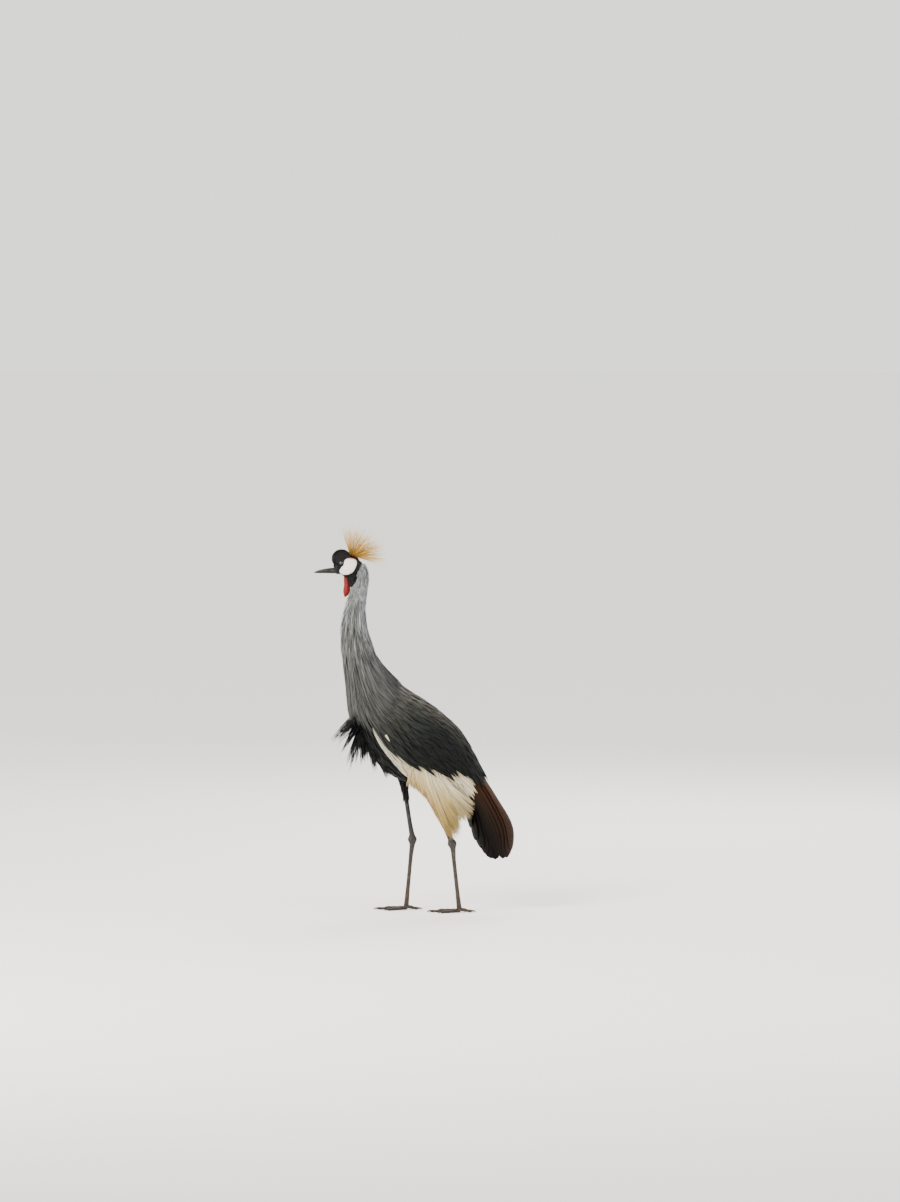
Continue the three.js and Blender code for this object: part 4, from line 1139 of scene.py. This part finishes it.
def makeCheeks():
    material = bareSkin("whiteCheekSkin", None, "#b9a49c", wrinkle=420, roughness=0.55, soft=0.15, bump=0.0005)
    rho = np.concatenate([np.linspace(0.02, 1, cheek["rows"]), [1.04, 0.9]])[:, None]
    flat = cheek["middle"] + (cheekEdge(cheek["around"]) - cheek["middle"])[None] * rho[..., None]
    x, z = flat[..., 0], flat[..., 1]
    folds = 0.16 * np.sin(x * 1.7 + 1.5 * np.sin(z * 0.6)) * np.sin(z * 1.3 + 2 * np.sin(x * 0.5))
    folds += 0.1 * np.sin(2.9 * np.hypot(x - eyePlace[0], z - eyePlace[2]))
    out = headSide(x, z) + cheek["swell"] * np.sqrt(np.clip(1 - rho**3, 0, 1)) + folds * (1 - rho**4)
    out[-2:] = headSide(x[-2:], z[-2:]) - np.array([[1.5], [3.0]])
    for side, name in ((-1, "left"), (1, "right")):
        piece = tubes(f"cheek.{name}", [np.stack([x, side * out, z], -1)], cheekTint)
        dress(piece, material, [f"cheek_{name}"])


headFeathers = {
    "coat": ("headFeathers", "blackHeadFeathers", "black_velvet", ()),
    "rows": (6.7, 0.3, 2.4, 1.9, 0.4),
    "length": (7.0, 0.25),
    "width": (2.2, 0.2),
    "lifts": (-1.6, (0.7, 0.3), (1.3, 0.6)),
    "form": ("short", "three", 0.5),
    "fade": (0.8, 1.1, 0.12),
    "colour": "#121213",
    "turns": (8, 14),
    "billRoot": (-222, 974.5, 7.5),
}


def byEye(place):
    return np.hypot(place[:, 0] - eyePlace[0], place[:, 2] - eyePlace[2]) < eyeClear


def makeHeadFeathers():
    roots = rootRows(head, headFeathers["rows"], fullTurn)
    place, _ = onSurface(head, *roots.T)
    billX, billZ, billReach = headFeathers["billRoot"]
    onBill = (place[:, 0] < billX) & (np.abs(place[:, 2] - billZ) < billReach)
    roots = roots[~(onCheek(place) | byEye(place) | onBill)]
    s, angle = roots.T
    length = sized(s, *headFeathers["length"])
    for reach in np.arange(1, 8, 0.75):  # none of them lies over the bare cheek
        ahead, _ = onSurface(head, np.maximum(s - reach / spanLength(head, s), lineEnd), angle)
        length = np.where(onCheek(ahead), np.minimum(length, reach + 0.5), length)
    addCoat(headFeathers, shortVanes(head, roots, headFeathers, length), roots)


# Cushion and throat: short plumes that stand on a ball. lie is the way they lean, stand how upright they
# are, in degrees and with its unevenness.
cushion = {
    "coat": ("foreheadCushion", "blackForeheadVelvet", "black_velvet", ["forehead_cushion"]),
    "ball": cushionBall, "count": 8000, "lie": (0.7, 0, 0.25), "length": 4.0, "width": 1.5, "stand": (50, 16),
    "form": ("tuft", "three", 0.6), "fade": (0.6, 1.3, 0.14), "colour": "#131112",
}
throat = {
    "coat": ("throatFeathers", "blackHeadFeathers", "black_velvet", ()),
    "ball": throatBall, "count": 1500, "lie": (0.25, 0, -1.0), "length": 9, "width": 3.2, "stand": (14, 8),
    "form": ("tuft", "three", 0.6), "fade": (0.7, 1.2, 0.12), "colour": "#131315",
}


def tuftCoat(kind, keepOf):
    radii = np.array(kind["ball"]["radii"])
    i = np.arange(kind["count"]) + 0.5
    z = 1 - 2 * i / kind["count"]
    turn = i * math.pi * (3 - math.sqrt(5))
    flat = np.sqrt(1 - z**2)
    way = np.stack([flat * np.cos(turn), flat * np.sin(turn), z], 1)
    place = np.array(kind["ball"]["centre"]) + way * radii
    keep = keepOf(place)
    place, out = place[keep], unit(way / radii)[keep]
    roots = np.stack([turn % (2 * math.pi), z], 1)[keep]
    count = len(place)
    length = kind["length"] * (1 + vary(0.25, count))
    width = kind["width"] * (1 + vary(0.2, count))
    stand = np.radians(kind["stand"][0] + vary(kind["stand"][1], count))[:, None]
    k = spots("tuft")[None, :, None]
    lie = np.array(kind["lie"]) * np.ones_like(place)
    lie = unit(lie - out * (out * lie).sum(-1, keepdims=True))
    aim = unit(out * np.sin(stand) + lie * np.cos(stand) + rng.normal(0, 0.12, (count, 3)))
    course = aim[:, None] * k + (out * 0.12)[:, None] * (k * (1 - k)) * 2
    path = place[:, None] - out[:, None] * 0.8 + course * length[:, None, None]
    addCoat(kind, bladesAlong(path, out[:, None] + lie[:, None] * 0.01 + 1e-3, width, kind["form"]), roots)


def makeCushion():
    def keep(place):
        top = smoothCurve(head["line"], headStation(place[:, 0]))[0][..., 2]
        return (place[:, 2] > top - 3) & ~byEye(place)

    tuftCoat(cushion, keep)


def makeThroat():
    tuftCoat(throat, lambda place: (place[:, 2] < 975) & (place[:, 0] < -158))


# Eyes: a pale blue-grey iris round a black pupil, wet, held by dark wrinkled lids. The iris is told by
# its colours at shares of its radius, the lids by their rim, their reach and the places of their rows.
iris = [(0.0, "#040404"), (0.4, "#040404"), (0.46, "#5f737e"), (0.62, "#9fb3bd"), (0.74, "#7d9099"), (0.82, "#131415")]
lids = {"rim": (4.5, 3.75), "reach": (8.0, 7.4), "rows": [0.0, 0.02, 0.1, 0.22, 0.36, 0.5, 0.66, 0.82, 1.0, 1.15]}


# The wet cornea over the iris: a smooth ball with small sharp highlights.
def eyeMaterial():
    material, tree, shader = newMaterial(
        "wetCornea", Roughness=0.12, Specular_IOR_Level=0.2, Coat_Weight=0.4, Coat_Roughness=0.02
    )
    place = ownPlace(tree)
    middle = (eyePlace[0] * mm, 0, eyePlace[2] * mm)
    offset = addNode(tree, "VectorMath", {0: place, 1: middle}, operation="SUBTRACT").outputs[0]
    flat = addNode(tree, "VectorMath", {0: offset, 1: (1, 0, 1)}, operation="MULTIPLY").outputs[0]
    away = addNode(tree, "VectorMath", {0: flat}, operation="LENGTH").outputs["Value"]
    uneven = addScaled(tree, noise(tree, place, 900.0, Detail=3.0), 0.0006, away)
    colours = addNode(tree, "ValToRGB", {"Fac": ranged(tree, uneven, high=eyeRadius * mm)})
    while len(colours.color_ramp.elements) < len(iris):
        colours.color_ramp.elements.new(0.5)
    for element, (position, colour) in zip(colours.color_ramp.elements, iris):
        element.position, element.color = position, rgba(colour)
    tree.links.new(colours.outputs["Color"], shader.inputs["Base Color"])
    return material


def lidRings(centre, side):
    around = np.radians(np.linspace(0, 360, 64, endpoint=False))[None]
    (rimX, rimZ), (farX, farZ) = lids["rim"], lids["reach"]
    rim = np.stack([rimX * np.cos(around) - 0.1, rimZ * np.sin(around) * (1 - 0.12 * np.cos(around))], -1)
    outer = np.stack([farX * np.cos(around), farZ * np.sin(around)], -1)
    steps = np.array(lids["rows"])[:, None]
    flat = rim + (outer - rim) * steps[..., None]
    x, z = centre[0] + flat[..., 0], centre[2] + flat[..., 1]
    radius = np.hypot(flat[..., 0], flat[..., 1])
    ballSide = abs(centre[1]) + np.sqrt(np.clip((eyeRadius + 0.75) ** 2 - radius**2, 0, None))
    blend = smoothstep(0.25, 0.95, steps) * np.ones_like(ballSide)
    out = ballSide * (1 - blend) + headSide(x, z) * blend
    upper = 0.32 * np.sin(steps * 2 * math.pi * 2.6) * (1 - steps) * (np.sin(around) > 0)
    out += upper + 0.2 * np.sin(steps * 2 * math.pi * 2) * (1 - steps)
    out[0] -= 1.0
    out[-1] -= 2.2
    return np.stack([x, -side * out, z], -1)


def makeEyes():
    material = eyeMaterial()
    lidSkin = bareSkin("blackLidSkin", "#1b1a1b", "#0c0c0d", wrinkle=900, roughness=0.55)
    for side, name in ((1, "left"), (-1, "right")):
        centre = eyePlace * [1, side, 1]
        shape = bmesh.new()
        bmesh.ops.create_uvsphere(shape, u_segments=48, v_segments=32, radius=(eyeRadius - 0.1) * mm)
        bmesh.ops.rotate(shape, verts=shape.verts, cent=(0, 0, 0), matrix=Matrix.Rotation(math.pi / 2, 3, "X"))
        bmesh.ops.translate(shape, verts=shape.verts, vec=centre * mm)
        dress(placed(f"eye.{name}", meshOf(shape, f"eye.{name}")), material, [f"eye_{name}"])
        piece = tubes(f"eyelids.{name}", [lidRings(centre, side)], evenly("#1b1a1b"))
        dress(piece, lidSkin)


# Bill: short and nearly straight, dark horn, with a nostril slot and a line of mouth.
bill = {
    "root": (-211, 0, 976.5),
    "tip": (-283.6, 0, 971.0),
    "bow": 1.4,
    "places": (0, 0.3, 0.6, 0.85, 1),
    "sizes": [(8.6, 8.4, 5.6), (8, 7.8, 5.2), (6.4, 5.8, 3.9), (4.2, 3.6, 2.5), (0.9, 0.9, 0.8)],
    "nostril": (-238, 978.0),
    "nostrilSize": (5.0, 1.15),
}


# Grown horn, worn by use: satin, with fine streaks along its length that are paler where it is worn.
def hornMaterial(name, colour, worn, grain):
    material, tree, shader = newMaterial(name, Roughness=0.42, Coat_Weight=0.15, Coat_Roughness=0.25)
    streaks = addNode(tree, "Mapping", {"Scale": (0.12, 1, 1), "Vector": ownPlace(tree)}).outputs[0]
    growth = noise(tree, streaks, grain, Detail=5.0)
    base = mixed(tree, rgba(colour), rgba(worn), ranged(tree, growth, 0.4, 0.75))
    surfaced(tree, shader, base, growth, 0.35, 0.0003)
    return material


def makeBill():
    material = hornMaterial("billHorn", "#161514", "#302d2a", 380)
    root, tip = np.array(bill["root"], float), np.array(bill["tip"], float)
    bow = [np.array([0, 0, bill["bow"] * math.sin(k * math.pi)]) for k in bill["places"]]
    surface = surfaceOf([root + (tip - root) * k + rise for k, rise in zip(bill["places"], bow)], bill["sizes"])
    (nx, nz), (long, high) = bill["nostril"], bill["nostrilSize"]
    for name, sign, last in (("upper", 1, 4.0), ("lower", -1, 3.93)):
        s = np.linspace(0, last, 110)[:, None]
        rings, _ = onSurface(surface, s, allRound(56))
        middle, _ = smoothCurve(surface["line"], s)
        middle = middle[..., 2]
        mouth = middle - 1.7 + 1.2 * (s / 4) ** 2
        parted = mouth + sign * (0.02 + 0.05 * np.abs(rings[..., 1]))
        rings[..., 2] = np.where(sign * (rings[..., 2] - parted) > 0, rings[..., 2], parted)
        if sign > 0:
            x, z = rings[..., 0], rings[..., 2]
            slot = np.exp(-(((x - nx) / long) ** 4) - ((z - nz + 0.03 * (x - nx)) / high) ** 2)
            groove = 0.45 * np.exp(-(((z - nz - 0.05 * (x - nx)) / 1.6) ** 2)) * smoothstep(-262, -250, x)
            rings[..., 1] -= np.sign(rings[..., 1]) * np.minimum(np.abs(rings[..., 1]), 2.1 * slot + groove)
            ridge = smoothstep(2.2, 0, np.abs(rings[..., 1])) * (z > middle)
            rings[..., 2] += 0.45 * ridge * (1 - s / 4)
        else:
            rings[..., 1] *= 1 - 0.08 * smoothstep(0.9, 0.1, np.abs(rings[..., 2] - mouth))
        dress(tubes(f"bill.{name}", [rings], evenly("#272523")), material, [f"bill_{name}"])


# Wattle: bare red skin in soft folds, hanging from the throat.
wattle = {
    "places": [(-190, 968), (-190, 952), (-189, 935), (-192, 915), (-195, 901)],
    "sizes": [(7, 7, 4.5), (8, 8, 5), (9, 9, 5.4), (9, 9.5, 5.2), (2.6, 2.6, 2)],
}


def makeWattle():
    material = bareSkin("redWattleSkin", "#86201b", "#6b1613", wrinkle=700, roughness=0.5, soft=0.2, bump=0.00015)
    s, angle = np.linspace(0.02, 3.995, 90)[:, None], allRound(56)
    turn = np.radians(angle)
    folds = 0.6 * np.cos(3 * turn + 0.8 * s) + 0.4 * np.cos(8 * turn + 1.2 * np.sin(2 * s))
    wrinkles = 0.16 * np.sin(s * 15 + 1.5 * np.sin(2 * turn)) + 0.08 * np.sin(s * 37 + 3 * np.sin(turn * 3))
    fade = smoothstep(4, 3.5, s) * smoothstep(0, 0.5, s)
    rings, _ = onSurface(surfaceOf(wattle["places"], wattle["sizes"]), s, angle, (folds + wrinkles) * fade - 0.5)
    dress(tubes("wattleSkin", [rings], evenly("#b42420")), material, ["wattle"])


# Crown: a fan of stiff golden bristles from a pad on the back of the head.
crown = {
    "place": (-177, 0, 1017), "pad": (11, 8.5, 4), "count": 320, "length": 92, "thick": 0.9, "lean": (-17, 101),
    "spread": 60, "form": ("bristle", "three", 1.0),
}


# Stiff, bristle-like feathers: satin gold, in faint bands along each one.
def bristleMaterial():
    material, tree, shader = newMaterial("goldenBristles", Roughness=0.42, Sheen_Weight=0.1)
    wave = {"Scale": 1.6, "Distortion": 0.6, "Vector": vanePlace(tree)}
    bands = addNode(tree, "TexWave", wave, bands_direction="Y").outputs["Fac"]
    colour = multiplied(tree, ownTint(tree), ranged(tree, bands, toLow=0.8, toHigh=1.1))
    surfaced(tree, shader, colour, bands, 0.3, 0.0002)
    return material


def makeCrown():
    count = crown["count"]
    order = (np.arange(count) + 0.5) / count
    front, rear = crown["lean"]
    lean = np.radians(front + (rear - front) * order + vary(4, count))
    reach = crown["spread"] * np.interp(order, [0, 0.5, 1], [0.72, 1, 0.72])
    side = np.radians(reach * (2 * ((np.arange(count) * 0.618) % 1) - 1) + vary(3, count))
    aim = np.stack([np.sin(lean) * np.cos(side), -np.sin(side), np.cos(lean) * np.cos(side)], 1)
    start = np.array(crown["place"]) + aim * crown["pad"]
    k = spots("bristle")
    length = crown["length"] * (1 + vary(0.07, count))
    bow = np.cross(aim, rng.normal(0, 1, (count, 3))) * 5 + np.array([1.5, 0, -4])
    path = start[:, None] - aim[:, None] * 4 + aim[:, None] * (length[:, None] * k)[..., None]
    path = path + bow[:, None] * (k**2)[None, :, None]
    out, width = unit(np.cross(aim, [0.1, 1, 0.2]))[:, None], crown["thick"] * (1 + vary(0.2, count))
    rings, vane = bladesAlong(path, out, width, crown["form"], ragged=0.02)
    golds = ramp(k, [0, 0.25, 0.8, 1], "#80602c #bd9544 #d3b264 #e3cb8d")[None, :, None]
    tint = golds * (1 + rng.normal(0, 0.09, (count, 1, 1, 1)))
    piece = ringMesh("crownBristles", rings, tint, np.stack([lean, side], 1), vane)
    dress(piece, bristleMaterial(), ["crown"])


# Legs: scaly skin, with overlapping plates down the front of the shank and over the toes. Each toe: name,
# turn from straight ahead and length.
legs = {
    "plate": 7.2, "plateHeight": 0.85, "ankleSwell": 4.0, "toePlate": 4.2, "toeRadius": 5.2, "toeEnd": 3.12,
    "floorGap": 0.02,
}
toeSet = [("middle", 0, 80), ("inner", -32, 60), ("outer", 36, 63), ("hind", 180, 34)]
shinSizes = [(7, 7, 6.4), (6.8, 6.8, 6.2), (6.5, 6.5, 5.9), (6.3, 6.3, 5.7), (6.4, 6.4, 5.7), (7.6, 7.6, 6)]
shankSizes = [(5.6, 5.6, 4.4), (5.4, 5.4, 4.3), (5.7, 5.7, 4.6), (7.2, 7.2, 6.6)]
toeSizes = [(1.15, 1.3, 1.15), (0.95, 1, 0.95), (0.8, 0.88, 0.82), (0.68, 0.8, 0.72), (0.68, 0.8, 0.72)]
clawSizes = [(2.8, 2.8, 2.4), (2.6, 2.6, 2.2), (1.8, 1.8, 1.5), (0.35, 0.35, 0.35)]


def plateLift(distance, angle, pitch, reach, height):
    phase = (distance / pitch) % 1
    plate = height * (0.25 + 0.75 * phase**0.8) * smoothstep(1, 0.94, phase)
    return plate * smoothstep(reach + 10, reach, np.abs(angle))


def legTint(places):
    return ramp(places[:, 2], [0, 60, 150, 215, 330], "#3a3029 #453930 #3b3632 #303235 #25282b")


# Dry, scaly skin: small plates with dark lines between them, paler where dust lies on it.
def scalyMaterial():
    material, tree, shader = newMaterial("scalyLegSkin", Roughness=0.52)
    place = ownPlace(tree)
    ridge = cellEdges(tree, place, 420.0, 0.22, randomness=0.8)
    clean = multiplied(tree, ownTint(tree), ranged(tree, ridge, toLow=0.55, toHigh=1.15))
    dusty = ranged(tree, noise(tree, place, 90.0, Detail=5.0), 0.5, 0.8, 0.0, 0.5)
    surfaced(tree, shader, mixed(tree, clean, rgba("#75695a"), dusty), ridge, 0.5, 0.0004)
    return material


def legRings(leg):
    knee, ankle, foot = (legPoint(leg, part) for part in ("knee", "ankle", "foot"))
    places = [knee + (ankle - knee) * k / 5 for k in range(5)] + [ankle]
    for k in (0.25, 0.5, 0.75, 1.0):
        place = ankle + (foot - ankle) * k
        place[2] = 5 + (1 - k) * (ankle[2] - 5)
        places.append(place)
    surface = surfaceOf(places, shinSizes + shankSizes)
    s, angle = np.linspace(1.3, 9, 520)[:, None], allRound(40)
    middle, _ = smoothCurve(surface["line"], s[:, 0])
    distance = np.concatenate([[0], np.cumsum(np.linalg.norm(np.diff(middle, axis=0), axis=1))])[:, None]
    fromAnkle = distance - np.interp(5, s[:, 0], distance[:, 0])
    front = np.cos(np.radians(angle))
    swell = np.exp(-((fromAnkle / 10) ** 2)) * (1.6 + legs["ankleSwell"] * front**2)
    notch = 0.35 * np.exp(-(((fromAnkle - 3) / 9) ** 2)) * np.sin(fromAnkle * 1.6)
    below, above = smoothstep(8, 16, fromAnkle), smoothstep(-10, -18, fromAnkle)
    plate, height = legs["plate"], legs["plateHeight"]
    plates = plateLift(distance, angle, plate, 62, height) * (below + 0.6 * above)
    rear = plateLift(distance, 180 - np.abs(angle), plate * 0.72, 40, height * 0.7) * below
    return onSurface(surface, s, angle, swell + notch + plates + rear - 0.3)[0]


def onFloor(rings):
    rings[..., 2] = np.maximum(rings[..., 2], legs["floorGap"])
    return rings


def toeParts(leg, turn, length, hind):
    foot = legPoint(leg, "foot") * [1, 1, 0]
    way = math.radians(turn * leg["side"])
    aim = np.array([-math.cos(way), -math.sin(way), 0])
    raised = 3 if hind else 0

    def line(*places):
        return [foot + aim * reach + np.array([0, 0, height]) for reach, height in places]

    toeLine = line(
        (0, 5.8 + raised), (length / 3, 4.6 + raised), (length * 2 / 3, 3.9 + raised * 0.4), (length, 3.6),
        (length * 4 / 3, 3.6),
    )
    side = (-aim[1], aim[0], 0)
    surface = surfaceOf(toeLine, np.array(toeSizes) * legs["toeRadius"], side)
    s, angle = np.linspace(0, legs["toeEnd"], 130)[:, None], allRound(32)
    distance = s * length / 3
    top = plateLift(distance, angle, legs["toePlate"], 72, 0.55)
    joints = 0.4 * np.cos(s * 2 * math.pi * (0.75 if hind else 1.0)) * smoothstep(0.1, 0.6, s)
    pads = 0.35 * np.cos(distance * 2 * math.pi / 9) * smoothstep(120, 150, np.abs(angle))
    rings, _ = onSurface(surface, s, angle, top + joints + pads - 0.3)
    middle, _ = smoothCurve(surface["line"], s)
    rings = middle + (rings - middle) * (0.25 + 0.75 * np.sqrt(smoothstep(legs["toeEnd"], 2.9, s)))[..., None]
    clawLine = line((length - 4, 3.9), (length + 2, 4.3), (length + 8, 3.8), (length + 14, 1.1))
    return onFloor(rings), onFloor(surfaceRings(surfaceOf(clawLine, clawSizes, side), 0, 3, 28, 20))


def makeLegs():
    scaly, horn = scalyMaterial(), hornMaterial("clawHorn", "#1c1a18", "#3a352f", 600)
    for leg in legPlaces:
        name = leg["name"]
        piece = tubes(f"legSkin.{name}", [legRings(leg)], legTint)
        dress(piece, scaly, [f"leg_{name}_tibia", f"leg_{name}_tarsus"])
        toes, claws = zip(*(toeParts(leg, turn, length, toe == "hind") for toe, turn, length in toeSet))
        dress(tubes(f"toes.{name}", toes, legTint), scaly, [f"foot_{name}"])
        piece = tubes(f"claws.{name}", claws, evenly("#1c1a18"))
        dress(piece, horn, [f"foot_{name}_claw_{toe}" for toe, _, _ in toeSet])


makeCheeks()
makeHeadFeathers()
makeCushion()
makeThroat()
makeEyes()
makeBill()
makeWattle()
makeCrown()
print("head made")
makeLegs()
print("legs made")


def makeFloor():
    shape = bmesh.new()
    bmesh.ops.create_circle(shape, cap_ends=True, segments=96, radius=studio["floorRadius"])
    floor = placed("floor", meshOf(shape, "floor"))
    material, _, _ = newMaterial("paleStudioFloor", Roughness=0.85, Base_Color=rgba(studio["floor"]))
    floor.data.materials.append(material)


makeFloor()
